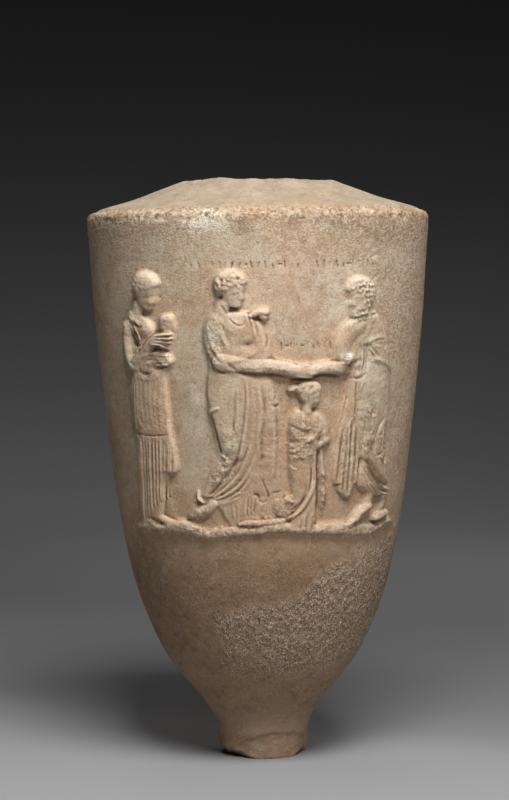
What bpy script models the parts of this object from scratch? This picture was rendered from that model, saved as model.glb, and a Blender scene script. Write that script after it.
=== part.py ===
"""Marble lekythos grave marker: a solid turned body with figures in relief, broken at neck and foot.

Metres, +Z up.  The front faces -Y and the origin is the middle of the underside.
"""
import math

import bmesh
import bpy
import numpy as np

# ---- driving dimensions (m) ----
BODY_RADIUS = 0.221          # at the rim of the shoulder, the widest place
RIM_HEIGHT = 0.702           # where the wall turns into the shoulder
TOP_HEIGHT = 0.7455          # broken edge of the neck
NECK_RADIUS = 0.098          # of the broken neck
RIM_ROUNDING = 0.0075        # worn edge between wall and shoulder
FOOT_RADIUS = 0.0565         # at the underside
GROUND_LINE = 0.308          # height of the line on which the figures stand
SPARE_BELOW = 0.004          # stock under the underside, cut off flat at the end

# wall of the body, foot to rim: share of the rim height, share of the body radius
WALL = [(0.000, 0.256), (0.043, 0.267), (0.080, 0.305), (0.125, 0.412), (0.181, 0.552), (0.248, 0.658),
        (0.336, 0.753), (0.470, 0.838), (0.641, 0.907), (0.803, 0.959), (0.912, 0.983), (0.985, 1.000)]

# ---- fineness ----
TURN_STEPS = 540
FINE_ROW = 0.0026            # row spacing behind the figures
PLAIN_ROW = 0.009            # row spacing elsewhere
NECK_RINGS = 9
CARVING_PITCH = 1.3          # mm between the points of the carving's height map
CARVING_DEPTH = 0.85         # share of the laid-out heights that is kept
TRIANGLES = 9000

# ---- broken places: a point on each break and the direction of the stone lost there ----
BREAKS = [((-0.012, -0.0555, 0.001), (-0.56, -0.42, -1.0)),
          ((-0.0565, 0.000, 0.0135), (-1.00, -0.10, -1.0)),
          ((0.048, -0.012, 0.000), (1.00, -0.30, -0.90))]
NECK_LUMPS = [(-0.045, -0.080, 0.0035, 0.020), (-0.080, 0.030, 0.0025, 0.025), (0.030, 0.060, 0.0030, 0.030),
              (0.060, -0.045, -0.0025, 0.030), (-0.010, 0.000, -0.0050, 0.045)]
RIM_CHIPS = 46
CHIP_DEPTH = 0.0035

# The carving is laid out in millimetres on the unrolled wall: x along the wall from the front line,
# y above the ground line, and heights above the wall.
MAP_LEFT, MAP_RIGHT, MAP_LOW, MAP_HIGH = -215.0, 215.0, -18.0, 342.0

map_x, map_y = np.meshgrid(np.arange(MAP_LEFT, MAP_RIGHT, CARVING_PITCH), np.arange(MAP_LOW, MAP_HIGH, CARVING_PITCH))
carving = np.zeros_like(map_x)


# ---- carving tools ----
def curve(points, count=26):
    """Smooth curve through points that may each hold any number of values."""
    p = np.array(points, float)
    ends = np.vstack([2 * p[0] - p[1], p, 2 * p[-1] - p[-2]])
    u = np.linspace(0, len(p) - 1, count)
    i = np.minimum(u.astype(int), len(p) - 2)
    f = (u - i)[:, None]
    p0, p1, p2, p3 = ends[i], ends[i + 1], ends[i + 2], ends[i + 3]
    return 0.5 * (2 * p1 + (p2 - p0) * f + (2 * p0 - 5 * p1 + 4 * p2 - p3) * f ** 2
                  + (3 * p1 - p0 - 3 * p2 + p3) * f ** 3)


def window(low, high):
    """Rows and columns of the map that hold the box from low to high."""
    rows = slice(max(0, int((low[1] - MAP_LOW) / CARVING_PITCH)), max(1, int((high[1] - MAP_LOW) / CARVING_PITCH) + 2))
    cols = slice(max(0, int((low[0] - MAP_LEFT) / CARVING_PITCH)), max(1, int((high[0] - MAP_LEFT) / CARVING_PITCH) + 2))
    return rows, cols


def along(path, reach):
    """For map points near a path: the window, share of the way along, and signed distance."""
    w = window(path.min(axis=0) - reach, path.max(axis=0) + reach)
    x, y = map_x[w], map_y[w]
    best = np.full(x.shape, 1e9)
    share = np.zeros(x.shape)
    side = np.zeros(x.shape)
    for i, (start, step) in enumerate(zip(path[:-1], np.diff(path, axis=0))):
        s = np.clip(((x - start[0]) * step[0] + (y - start[1]) * step[1]) / max(step @ step, 1e-9), 0, 1)
        dx = x - start[0] - s * step[0]
        dy = y - start[1] - s * step[1]
        near = dx * dx + dy * dy < best
        best = np.where(near, dx * dx + dy * dy, best)
        share = np.where(near, (i + s) / (len(path) - 1), share)
        side = np.where(near, np.sign(step[0] * dy - step[1] * dx), side)
    return w, share, np.sqrt(best) * side


def spread(values, share):
    """Values given at equal steps of a path, read at each share of the way."""
    values = np.atleast_1d(np.array(values, float))
    return np.interp(share, np.linspace(0, 1, len(values)), values)


def merge(w, height, blend=1.5):
    """Keep the higher of the old and the new surface, rounded where they meet."""
    old = carving[w]
    m = np.clip(0.5 + 0.5 * (old - height) / blend, 0, 1)
    carving[w] = height * (1 - m) + old * m + blend * m * (1 - m)


def limb(points, radii, wall, bulge):
    """Rounded form along a path: an arm, a foot, a rolled cloth."""
    w, share, distance = along(curve(points), np.max(radii) + 4)
    radius = spread(radii, share)
    q = np.abs(distance) / radius
    inside = wall * np.clip((1 - q) * radius / 1.5, 0, 1) + bulge * np.sqrt(np.clip(1 - q * q, 0, 1))
    merge(w, np.where(q < 1, inside, (1 - q) * radius * 3))


def mound(centre, size, turn, wall, bulge):
    """Rounded form on an ellipse."""
    cos, sin = math.cos(math.radians(turn)), math.sin(math.radians(turn))
    w = window(np.array(centre) - max(size) - 4, np.array(centre) + max(size) + 4)
    dx, dy = map_x[w] - centre[0], map_y[w] - centre[1]
    q = np.hypot((dx * cos + dy * sin) / size[0], (dy * cos - dx * sin) / size[1])
    inside = wall * np.clip((1 - q) * min(size) / 1.5, 0, 1) + bulge * np.sqrt(np.clip(1 - q * q, 0, 1))
    merge(w, np.where(q < 1, inside, (1 - q) * min(size) * 3))


def cloth(edges, wall, bulge, square=2.6, top=6, hem=2):
    """Garment between a left and a right edge, given as (y, left, right) from top to bottom."""
    e = curve(edges, 50)[::-1]
    w = window((e[:, 1].min() - 4, e[0, 0] - 4), (e[:, 2].max() + 4, e[-1, 0] + 4))
    x, y = map_x[w], map_y[w]
    left, right = np.interp(y, e[:, 0], e[:, 1]), np.interp(y, e[:, 0], e[:, 2])
    half = np.maximum(right - left, 1) / 2
    q = np.abs(x - (left + right) / 2) / half
    into_top = np.clip((e[-1, 0] - y) / top, 0, 1)
    into_hem = np.clip((y - e[0, 0]) / hem, 0, 1)
    fade = np.sqrt((1 - (1 - into_top) ** 2) * (1 - (1 - into_hem) ** 2))
    inside = fade * (wall * np.clip((1 - q) * half / 1.5, 0, 1) + bulge * np.sqrt(np.clip(1 - q ** square, 0, 1)))
    merge(w, np.where((q < 1) & (y < e[-1, 0]) & (y > e[0, 0]), inside, -4))


def fold(points, width, height, side=0.0, ends=0.2):
    """Ridge along a path (a groove where height is negative), with a valley on one side of it."""
    w, share, distance = along(curve(points), 3 * np.max(width))
    q = distance / spread(width, share)
    shape = np.exp(-1.4 * q * q) - abs(side) * np.exp(-1.6 * (q - 1.5 * np.sign(side)) ** 2)
    fade = np.sqrt(np.clip(share / ends, 0, 1) * np.clip((1 - share) / ends, 0, 1))
    carving[w] += spread(height, share) * shape * fade * (np.abs(q) < 3)


def folds(first, last, count, width, height, side=0.6):
    """Folds that fan out evenly from the first path to the last."""
    for k in np.linspace(0, 1, count):
        fold(np.array(first, float) * (1 - k) + np.array(last, float) * k, width, height, side)


# ---- heads: rounded masses turned in space, seen from the front ----
def turned(yaw, nod, tilt):
    """Rotation matrix: yaw about the upright, then nod, then tilt in the wall (degrees)."""
    y, n, t = np.radians([yaw, nod, tilt])
    about_y = np.array([[np.cos(y), 0, np.sin(y)], [0, 1, 0], [-np.sin(y), 0, np.cos(y)]])
    about_x = np.array([[1, 0, 0], [0, np.cos(n), -np.sin(n)], [0, np.sin(n), np.cos(n)]])
    about_z = np.array([[np.cos(t), -np.sin(t), 0], [np.sin(t), np.cos(t), 0], [0, 0, 1]])
    return about_z @ about_x @ about_y


# centre and radii as shares of the head's height, measured from the chin
SKULL = [((0.00, 0.62, -0.07), (0.315, 0.36, 0.40)), ((0.00, 0.66, 0.10), (0.26, 0.24, 0.25)),
         ((0.00, 0.33, 0.06), (0.235, 0.27, 0.27)), ((0.00, 0.10, 0.20), (0.12, 0.10, 0.14)),
         ((0.00, 0.39, 0.34), (0.050, 0.13, 0.08)), ((0.00, 0.19, 0.28), (0.08, 0.05, 0.07))]
HAIR = [((0.00, 0.69, -0.12), (0.355, 0.37, 0.44))]
BEARD = [((0.00, 0.14, 0.16), (0.215, 0.24, 0.23))]
HAIR_TAIL = [((0.00, 0.70, -0.62), (0.12, 0.13, 0.30))]
PIVOT = 0.47


def head(centre, tall, yaw, nod, tilt, masses, out=9.0, flatness=0.42):
    """A head of rounded masses; flatness is its depth in the relief as a share of its true depth."""
    spin = turned(yaw, nod, tilt)
    w = window(np.array(centre) - tall, np.array(centre) + tall)
    x, y = (map_x[w] - centre[0]) / tall, (map_y[w] - centre[1]) / tall
    for place, radii in masses:
        middle = spin @ (np.array(place) - (0, PIVOT, 0))
        q = spin @ np.diag(1 / np.array(radii) ** 2) @ spin.T
        dx, dy = x - middle[0], y - middle[1]
        b = q[0, 2] * dx + q[1, 2] * dy
        inside = b * b - q[2, 2] * (q[0, 0] * dx * dx + 2 * q[0, 1] * dx * dy + q[1, 1] * dy * dy - 1)
        depth = middle[2] + (np.sqrt(np.maximum(inside, 0)) - b) / q[2, 2]
        merge(w, np.where(inside > 0, out + tall * flatness * (depth + 0.10), -9), 1.0)


# ---- the figures, left to right ----
def ground_ledge():
    line = [(-184, 3, 2), (-150, 5, 6), (-110, 3, 7.5), (-60, 0, 8), (0, 3, 8.5), (50, 4, 7.5), (100, 0, 8),
            (140, -1, 8), (180, 4, 5), (203, 2, 2)]
    limb([(x, y) for x, y, _ in line], [r for _, _, r in line], 5, 6)


def nurse_with_child():
    cloth([(268, -176, -146), (252, -190, -135), (208, -186, -122), (170, -190, -117), (120, -185, -111),
           (78, -180, -104), (30, -179, -112), (9, -179, -116)], 5, 7.5)
    for k in np.linspace(0, 1, 9):
        top, foot = -182 + 56 * k, -176 + 51 * k
        fold([(top, 186), (0.5 * (top + foot), 120), (foot, 60), (foot, 14)], 2.6, 1.7, 0.7, 0.1)
    mound((-160, 256), (23, 16), -8, 4, 10)
    fold([(-178, 267), (-165, 261), (-150, 252)], 2.4, 1.8, -0.8)
    fold([(-172, 263), (-163, 252), (-155, 238)], 2.4, 1.9, -0.8)
    limb([(-182, 264), (-190, 243), (-186, 220), (-178, 207)], [9, 8.8, 8.8, 8.2], 7, 9)
    fold([(-175, 248), (-170, 240), (-165, 231)], [3, 4.4, 3], -6)
    limb([(-177, 207), (-166, 213), (-153, 225), (-140, 236)], [8.2, 8.4, 7, 6], 8, 9.5)
    limb([(-151, 206), (-137, 215), (-124, 233), (-117, 248)], [8.6, 11, 11.5, 10], 7, 9)
    mound((-116, 257), (11.5, 12.5), -15, 8, 9.5)
    limb([(-140, 237), (-128, 240), (-111, 238)], [6.5, 7.5, 6], 13, 7)
    limb([(-110, 214), (-126, 215), (-142, 215)], [6, 7.5, 6], 11, 6)
    limb([(-151, 27), (-138, 19), (-118, 11), (-88, 8)], [3, 5.5, 7, 4], 4, 8)
    limb([(-165, 271), (-160, 280)], [10, 10], 3, 9)
    head((-155, 300), 56, 38, 26, -12, SKULL + HAIR)


def draped_figure():
    cloth([(120, -34, 26), (70, -50, 32), (42, -62, 34), (6, -40, 30)], 5, 4, 4, 20)
    cloth([(274, -58, -10), (255, -68, 16), (230, -68, 20), (200, -61, 22), (170, -66.5, 26), (145, -60, 29),
           (100, -48, 30.5), (70, -30, 32), (30, -12, 31)], 5.5, 9.5, 2.8, 6, 12)
    limb([(-40, 95), (-52, 72), (-64, 50)], [10, 10, 8], 3, 5.5)
    limb([(-38, 200), (-44, 170), (-42, 140), (-34, 108)], [20, 23, 20, 14], 3, 11)
    limb([(-6, 190), (-2, 150), (2, 110), (4, 70)], [17, 18, 16, 13], 3, 9.5)
    limb([(-48, 266), (-55, 250), (-53, 230), (-42, 214)], [13, 14, 15, 14], 6, 10)
    mound((-20, 250), (24, 20), 0, 4, 11)
    fold([(-19, 238), (-12, 235), (-5, 235)], [4, 5, 3.5], -5.5)
    limb([(-44, 210), (-8, 211), (30, 206), (44, 203)], [13, 12, 8.5, 7.2], 10, 10)
    limb([(-8, 267), (0, 272), (10, 273)], [5, 6, 5], 8, 6)
    fold([(-20, 278), (-10, 268), (2, 248)], 2.4, 2.0, 0.8)
    fold([(-38, 269), (-26, 258), (-14, 260)], 2.2, 2.2, -0.8)
    fold([(-70, 246), (-67, 228), (-60, 211), (-45, 197)], 2.4, -3)
    fold([(-16, 194), (-17, 138), (-26, 99), (-36, 77), (-52, 58), (-68, 44)], 3, 3.4, -1.0, 0.1)
    fold([(-25, 96), (-34, 81), (-46, 67), (-62, 51)], 4.2, -4.6)
    folds([(-14, 125), (-34, 70), (-66, 43)], [(-6, 100), (-26, 54), (-58, 33)], 4, 2.4, 2.0, -0.7)
    folds([(-24, 170), (-26, 140), (-33, 115)], [(-5, 178), (-8, 140), (-12, 105)], 3, 2.8, 1.3, -0.5)
    folds([(-3, 184), (0, 140), (2, 60)], [(24, 180), (25, 140), (24, 62)], 5, 2.8, 1.9)
    folds([(-34, 45), (-36, 18)], [(-6, 45), (-7, 17)], 5, 2.2, 1.5)
    limb([(-33, 12), (-4, 14), (26, 16)], [3.5, 6, 6], 6, 8)
    limb([(-92, 21), (-80, 23), (-68, 22)], [6, 9.5, 6], 4, 8)
    mound((34, 34), (13, 19), -20, 5, 9)
    limb([(-47, 270), (-41, 282)], [11, 10], 4, 10)
    head((-35, 304), 53, 36, 8, 3, SKULL + HAIR)


def girl():
    cloth([(150, 42, 70), (128, 35, 88), (112, 35, 88), (102, 34, 72), (65, 37, 69), (20, 36, 66), (3, 33, 65)], 7, 8)
    limb([(44, 146), (39, 134), (42, 120), (56, 114)], [7, 7.5, 7.5, 6.5], 11, 7)
    limb([(70, 148), (80, 136), (86, 124), (76, 117)], [5.5, 6, 6, 5.5], 10, 7)
    mound((58, 134), (15, 15), 0, 9, 9)
    fold([(50, 128), (60, 119), (76, 131)], 2.2, 2.0, -0.7)
    folds([(69, 104), (65, 60), (34, 18)], [(57, 92), (58, 45), (42, 30)], 3, 2.4, 2.0, -0.7)
    limb([(64, 98), (66, 60), (62, 6)], [6, 6, 6], 6, 6)
    limb([(58, 154), (60, 162)], [8, 8], 9, 8)
    head((60, 170), 37, 55, 14, -4, SKULL + HAIR + HAIR_TAIL, 12)


def staff():
    limb([(76, 104), (76.5, 88), (77, 71)], [3.6, 3.6, 3.2], 5, 4)
    for y in range(66, 22, -8):
        mound((77 + (y % 3) - 1, y), (5, 4.6), 0, 3, 3.5)


def bearded_man():
    cloth([(162, 106, 132), (125, 97, 131), (85, 92, 130), (59, 93, 128)], 5, 4, 3, 8)
    cloth([(100, 102, 128), (70, 102, 126), (42, 105, 116)], 6, 4, 3, 10)
    cloth([(110, 128, 166), (80, 132, 177), (52, 128, 184), (40, 150, 180)], 6, 6, 2.6, 8)
    cloth([(268, 122, 160), (245, 106, 174), (215, 100, 180), (182, 112, 184), (162, 112, 183), (130, 122, 173),
           (114, 126, 170), (86, 132, 176)], 5.5, 9.5, 2.6, 6, 8)
    limb([(150, 200), (146, 170), (144, 135), (138, 102)], [24, 27, 22, 13], 3, 9)
    limb([(135, 257), (120, 245), (112, 230), (110, 216)], [13, 13.5, 13, 11.5], 7, 10)
    limb([(112, 208), (80, 202), (52, 200)], [9.6, 8, 7], 11, 9)
    fold([(109, 209), (117, 206), (126, 211)], [2.4, 3.4, 2.4], -4.5)
    cloth([(216, 118, 141), (200, 120, 142), (190, 122, 141)], 11, 5, 3, 4)
    mound((134, 236), (6, 6), 0, 13, 5)
    folds([(138, 240), (150, 245), (168, 247)], [(136, 231), (146, 220), (156, 209)], 4, 2.4, 2.2)
    fold([(148, 216), (158, 211), (182, 198)], 2.6, 2.6, 0.7)
    fold([(158, 273), (142, 269), (117, 255)], 2.6, 2.6, 0.8)
    folds([(105, 162), (98, 125), (94, 60)], [(129, 160), (128, 130), (121, 52)], 5, 2.4, 2.2)
    mound((137, 96), (9, 10), 20, 9, 9)
    fold([(138, 91), (155, 66), (184, 48)], [3, 4.4, 3], -4.2)
    folds([(140, 83), (158, 59), (186, 46)], [(128, 53), (152, 43), (182, 40)], 3, 2.4, 2.8, -0.8)
    fold([(152, 146), (166, 140), (178, 149)], 2.4, 1.6, -0.7)
    limb([(148, 32), (128, 17), (116, 9)], [6, 5.4, 4.4], 6, 8)
    limb([(183, 34), (164, 13), (158, 8)], [6.5, 6, 4], 5, 8)
    limb([(140, 266), (136, 280)], [12, 11], 5, 10)
    head((130, 290), 54, -72, 16, 6, SKULL + HAIR + BEARD)


def clasped_hands():
    limb([(40, 203), (50, 201), (62, 199)], [7.5, 8.5, 7], 14, 8)


def carve():
    """Fill the height map, back forms first, then soften it like worn stone."""
    for figure in (ground_ledge, nurse_with_child, bearded_man, draped_figure, staff, girl, clasped_hands):
        figure()
    for _ in range(2):
        for axis in (0, 1):
            carving[:] = 0.5 * carving + 0.25 * (np.roll(carving, 1, axis) + np.roll(carving, -1, axis))
    carving[:] = CARVING_DEPTH * np.maximum(carving, 0)


# ---- the block ----
def body_profile():
    """Half section from the middle of the top down to the middle of the underside."""
    wall = curve([(y * RIM_HEIGHT, r * BODY_RADIUS) for y, r in WALL], 400)
    shoulder = curve([(TOP_HEIGHT, NECK_RADIUS), (0.7335, 0.130), (0.7225, 0.160), (0.7115, 0.199),
                      (RIM_HEIGHT + RIM_ROUNDING * 0.75, BODY_RADIUS - RIM_ROUNDING)], 16)
    section = [(r, TOP_HEIGHT) for r in np.linspace(0, NECK_RADIUS, NECK_RINGS, endpoint=False)]
    section += [(r, z) for z, r in shoulder]
    for turn in (0.3, 0.6, 0.85):
        angle = turn * math.pi / 2
        section.append((BODY_RADIUS - RIM_ROUNDING * (1 - math.sin(angle)),
                        RIM_HEIGHT - RIM_ROUNDING * (0.9 - math.cos(angle)) + 0.0005))
    z = section[-1][1]
    low, high = GROUND_LINE + MAP_LOW / 1000, GROUND_LINE + MAP_HIGH / 1000
    while z > PLAIN_ROW:
        z -= FINE_ROW if low < z < high else PLAIN_ROW
        section.append((float(np.interp(z, wall[:, 0], wall[:, 1])), z))
    section += [(FOOT_RADIUS, -SPARE_BELOW), (FOOT_RADIUS / 2, -SPARE_BELOW), (0.0, -SPARE_BELOW)]
    return section


def turned_body(collection):
    """Spin the half section about Z and return the result as a plain mesh object."""
    section = body_profile()
    mesh = bpy.data.meshes.new("section")
    mesh.from_pydata([(r, 0, z) for r, z in section], [(i, i + 1) for i in range(len(section) - 1)], [])
    profile = bpy.data.objects.new("section", mesh)
    collection.objects.link(profile)
    screw = profile.modifiers.new("turn", "SCREW")
    screw.steps = screw.render_steps = TURN_STEPS
    screw.use_merge_vertices = True
    screw.merge_threshold = 0.00001
    turned_mesh = bpy.data.meshes.new_from_object(profile.evaluated_get(bpy.context.evaluated_depsgraph_get()))
    bpy.data.objects.remove(profile)
    bpy.data.meshes.remove(mesh)
    turned_mesh.name = "lekythos"
    body = bpy.data.objects.new("lekythos", turned_mesh)
    collection.objects.link(body)
    return body


def read_map(x, y):
    """Carving height at unrolled places, between the map's points."""
    col = (x - MAP_LEFT) / CARVING_PITCH
    row = (y - MAP_LOW) / CARVING_PITCH
    inside = (col > 0) & (row > 0) & (col < carving.shape[1] - 1) & (row < carving.shape[0] - 1)
    i, j = np.where(inside, row, 0).astype(int), np.where(inside, col, 0).astype(int)
    u, v = np.where(inside, row - i, 0), np.where(inside, col - j, 0)
    height = (carving[i, j] * (1 - u) * (1 - v) + carving[i + 1, j] * u * (1 - v)
              + carving[i, j + 1] * (1 - u) * v + carving[i + 1, j + 1] * u * v)
    return np.where(inside, height, 0)


def carve_body(body):
    """Move the wall out by the carving, chip the rim, and roughen the break of the neck."""
    co = np.empty(len(body.data.vertices) * 3)
    body.data.vertices.foreach_get("co", co)
    co = co.reshape(-1, 3)
    radius = np.hypot(co[:, 0], co[:, 1])
    angle = np.arctan2(co[:, 0], -co[:, 1])
    on_wall = (radius > FOOT_RADIUS) & (co[:, 2] < RIM_HEIGHT)
    out = np.where(on_wall, read_map(angle * radius * 1000, (co[:, 2] - GROUND_LINE) * 1000) / 1000, 0)
    rng = np.random.default_rng(4)
    for turn, size in zip(rng.uniform(-math.pi, math.pi, RIM_CHIPS), rng.uniform(0.006, 0.018, RIM_CHIPS)):
        away = (np.angle(np.exp(1j * (angle - turn))) * BODY_RADIUS) ** 2
        away += (radius - BODY_RADIUS) ** 2 + (co[:, 2] - RIM_HEIGHT - 0.004) ** 2
        out -= CHIP_DEPTH * np.exp(-away / (0.5 * size) ** 2)
    scale = (radius + out) / np.maximum(radius, 1e-6)
    co[:, 0] *= scale
    co[:, 1] *= scale
    for x, y, rise, size in NECK_LUMPS:
        near = np.exp(-((co[:, 0] - x) ** 2 + (co[:, 1] - y) ** 2) / size ** 2)
        co[:, 2] += np.where((co[:, 2] > RIM_HEIGHT) & (radius < NECK_RADIUS * 1.15), rise * near, 0)
    body.data.vertices.foreach_set("co", co.ravel())
    body.data.update()


def thin_out(body):
    """Fewer faces where the stone is plain."""
    body.data.calc_loop_triangles()
    decimate = body.modifiers.new("thin", "DECIMATE")
    decimate.ratio = TRIANGLES / len(body.data.loop_triangles)
    decimate.use_collapse_triangulate = True
    thinned = bpy.data.meshes.new_from_object(body.evaluated_get(bpy.context.evaluated_depsgraph_get()))
    body.modifiers.clear()
    full = body.data
    body.data = thinned
    bpy.data.meshes.remove(full)
    thinned.name = "lekythos"


def cut_breaks(body):
    """Cut off the lost corners of the foot, then the underside flat at zero."""
    bm = bmesh.new()
    bm.from_mesh(body.data)
    for point, lost in BREAKS + [((0, 0, 0), (0, 0, -1))]:
        whole = list(bm.verts) + list(bm.edges) + list(bm.faces)
        cut = bmesh.ops.bisect_plane(bm, geom=whole, dist=1e-6, plane_co=point, plane_no=lost, clear_outer=True)
        rim = [e for e in cut["geom_cut"] if isinstance(e, bmesh.types.BMEdge)]
        bmesh.ops.holes_fill(bm, edges=rim)
    bmesh.ops.dissolve_degenerate(bm, edges=bm.edges, dist=1e-5)
    bmesh.ops.triangulate(bm, faces=[f for f in bm.faces if len(f.verts) > 3])
    bmesh.ops.recalc_face_normals(bm, faces=bm.faces)
    bm.to_mesh(body.data)
    bm.free()


def marble():
    """Weathered warm marble."""
    material = bpy.data.materials.new("marble")
    material.use_nodes = True
    shader = material.node_tree.nodes["Principled BSDF"]
    shader.inputs["Base Color"].default_value = (0.50, 0.39, 0.30, 1.0)
    shader.inputs["Roughness"].default_value = 0.8
    shader.inputs["Metallic"].default_value = 0.0
    return material


def main():
    for old in list(bpy.data.objects):
        bpy.data.objects.remove(old)
    collection = bpy.data.collections.new("lekythos grave marker")
    bpy.context.scene.collection.children.link(collection)
    carve()
    body = turned_body(collection)
    carve_body(body)
    thin_out(body)
    cut_breaks(body)
    body.data.materials.clear()
    body.data.materials.append(marble())
    body.data.shade_smooth()
    body.data.set_sharp_from_angle(angle=math.radians(40))


main()
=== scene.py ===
# Marble lekythos grave marker: a turned body with figures in low relief, broken at neck and foot.
# The whole stone is one surface of two parameters (turn and way down the section), pushed out by a carved
# height map and weathered, then thinned and painted.
import math
import bpy
import numpy as np
from mathutils import Matrix, Vector


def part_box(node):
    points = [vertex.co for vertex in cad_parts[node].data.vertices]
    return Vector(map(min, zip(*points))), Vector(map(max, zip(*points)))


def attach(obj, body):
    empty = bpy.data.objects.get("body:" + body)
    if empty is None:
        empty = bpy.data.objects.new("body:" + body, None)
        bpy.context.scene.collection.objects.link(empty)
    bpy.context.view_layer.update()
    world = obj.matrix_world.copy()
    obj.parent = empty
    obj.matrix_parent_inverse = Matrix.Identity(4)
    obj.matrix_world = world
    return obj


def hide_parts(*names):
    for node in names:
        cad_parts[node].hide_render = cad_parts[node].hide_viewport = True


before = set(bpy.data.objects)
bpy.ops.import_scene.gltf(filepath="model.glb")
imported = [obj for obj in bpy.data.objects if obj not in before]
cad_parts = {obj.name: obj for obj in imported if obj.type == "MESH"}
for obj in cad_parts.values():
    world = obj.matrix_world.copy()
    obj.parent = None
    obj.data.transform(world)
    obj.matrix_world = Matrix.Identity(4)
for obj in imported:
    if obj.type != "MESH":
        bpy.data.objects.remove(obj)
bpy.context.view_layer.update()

print("stage 1: frame loaded")
nodeLow, nodeHigh = (np.array(corner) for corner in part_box("lekythos"))

# ---- the carving's height map: millimetres on the unrolled wall ----
# a runs along the wall from the front line, z is the height above the ground line, height stands out of the wall
relief = {"left": -216.0, "right": 216.0, "low": -22.0, "high": 356.0, "pitch": 0.6, "foldGain": 1.15}

lineA = np.arange(relief["left"], relief["right"], relief["pitch"])
lineZ = np.arange(relief["low"], relief["high"], relief["pitch"])
gridA, gridZ = np.meshgrid(lineA, lineZ)
carved = np.zeros_like(gridA)
battered = np.zeros_like(gridA)     # where the stone is broken, 0 to 1
onWall = np.stack([gridA, gridZ, np.zeros_like(gridA)], axis=-1) / 1000


def value(points, size, seed):
    # value noise: hashed numbers on a turned lattice of this size (m), blended by 3f^2 - 2f^3; 0 to 1
    s, c = math.sin(seed), math.cos(seed)
    x, y, z = points[..., 0], points[..., 1], points[..., 2]
    x, y = c * x + s * y, c * y - s * x
    y, z = c * y + s * z, c * z - s * y
    q = np.stack([x, y, z], axis=-1) / size + 64.0
    cell = np.floor(q).astype(np.int64)
    f = q - cell
    f = f * f * (3 - 2 * f)
    total = np.zeros(points.shape[:-1])
    for corner in range(8):
        dx, dy, dz = corner & 1, corner >> 1 & 1, corner >> 2
        h = ((cell[..., 0] + dx) * 374761393 + (cell[..., 1] + dy) * 668265263 + (cell[..., 2] + dz) * 1442695041
             + seed * 97531) & 0xffffffff
        h = ((h ^ (h >> 13)) * 1274126177) & 0xffffffff
        h = (h ^ (h >> 16)) / 0xffffffff
        total += h * ((f[..., 0] if dx else 1 - f[..., 0]) * (f[..., 1] if dy else 1 - f[..., 1])
                      * (f[..., 2] if dz else 1 - f[..., 2]))
    return total


def layered(points, size, seed, octaves=3):
    # sum of value noise, each layer half the size and half the strength; about -1 to 1
    total, weight = 0.0, 0.0
    for k in range(octaves):
        total = total + (value(points, size / 2 ** k, seed + 11 * k) * 2 - 1) / 2 ** k
        weight += 0.5 ** k
    return total / weight


def smoothStep(low, high, x):
    t = np.clip((x - low) / (high - low), 0, 1)
    return t * t * (3 - 2 * t)


def smoothPath(points, count=30):
    # Catmull-Rom: the cubic through each pair of points whose slopes are half the step between their neighbours
    p = np.array(points, float)
    ends = np.vstack([2 * p[0] - p[1], p, 2 * p[-1] - p[-2]])
    u = np.linspace(0, len(p) - 1, count)
    i = np.minimum(u.astype(int), len(p) - 2)
    f = (u - i)[:, None]
    p0, p1, p2, p3 = ends[i], ends[i + 1], ends[i + 2], ends[i + 3]
    return 0.5 * (2 * p1 + (p2 - p0) * f + (2 * p0 - 5 * p1 + 4 * p2 - p3) * f ** 2
                  + (3 * p1 - p0 - 3 * p2 + p3) * f ** 3)


def patch(low, high):
    # rows and columns of the map inside a box
    z0, z1 = ((v - relief["low"]) / relief["pitch"] for v in (low[1], high[1]))
    a0, a1 = ((v - relief["left"]) / relief["pitch"] for v in (low[0], high[0]))
    return (slice(int(np.clip(z0, 0, len(lineZ) - 1)), int(np.clip(z1 + 2, 1, len(lineZ)))),
            slice(int(np.clip(a0, 0, len(lineA) - 1)), int(np.clip(a1 + 2, 1, len(lineA)))))


def besidePath(path, reach):
    # for map points near the path: share of the way along, and the distance, positive on the left of travel
    w = patch(path.min(axis=0) - reach, path.max(axis=0) + reach)
    a, z = gridA[w], gridZ[w]
    best, share, side = np.full(a.shape, 1e9), np.zeros(a.shape), np.ones(a.shape)
    for i, (start, leg) in enumerate(zip(path[:-1], np.diff(path, axis=0))):
        s = np.clip(((a - start[0]) * leg[0] + (z - start[1]) * leg[1]) / max(leg @ leg, 1e-9), 0, 1)
        da, dz = a - start[0] - s * leg[0], z - start[1] - s * leg[1]
        near = da * da + dz * dz < best
        best = np.where(near, da * da + dz * dz, best)
        share = np.where(near, (i + s) / (len(path) - 1), share)
        side = np.where(near, np.sign(leg[0] * dz - leg[1] * da), side)
    return w, share, np.sqrt(best) * side


def spread(values, share):
    # values at equal steps of a path, read between the steps
    values = np.atleast_1d(np.array(values, float))
    return np.interp(share, np.linspace(0, 1, len(values)), values)


def join(w, height, blend=1.2):
    # smooth maximum: the higher surface, rounded over the width blend where the two meet
    old = carved[w]
    m = np.clip(0.5 + 0.5 * (old - height) / blend, 0, 1)
    carved[w] = height * (1 - m) + old * m + blend * m * (1 - m)


def limb(points, radii, wall, bulge, blend=1.2):
    # wall + bulge * (1 - (d / r)^2)^0.6 over the distance d from the path
    w, share, distance = besidePath(smoothPath(points), np.max(radii) + 4)
    radius = spread(radii, share)
    q = np.abs(distance) / radius
    inside = (spread(wall, share) * np.clip((1 - q) * radius / 1.5, 0, 1)
              + spread(bulge, share) * np.clip(1 - q * q, 0, 1) ** 0.6)
    join(w, np.where(q < 1, inside, (1 - q) * radius * 3), blend)


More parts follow.
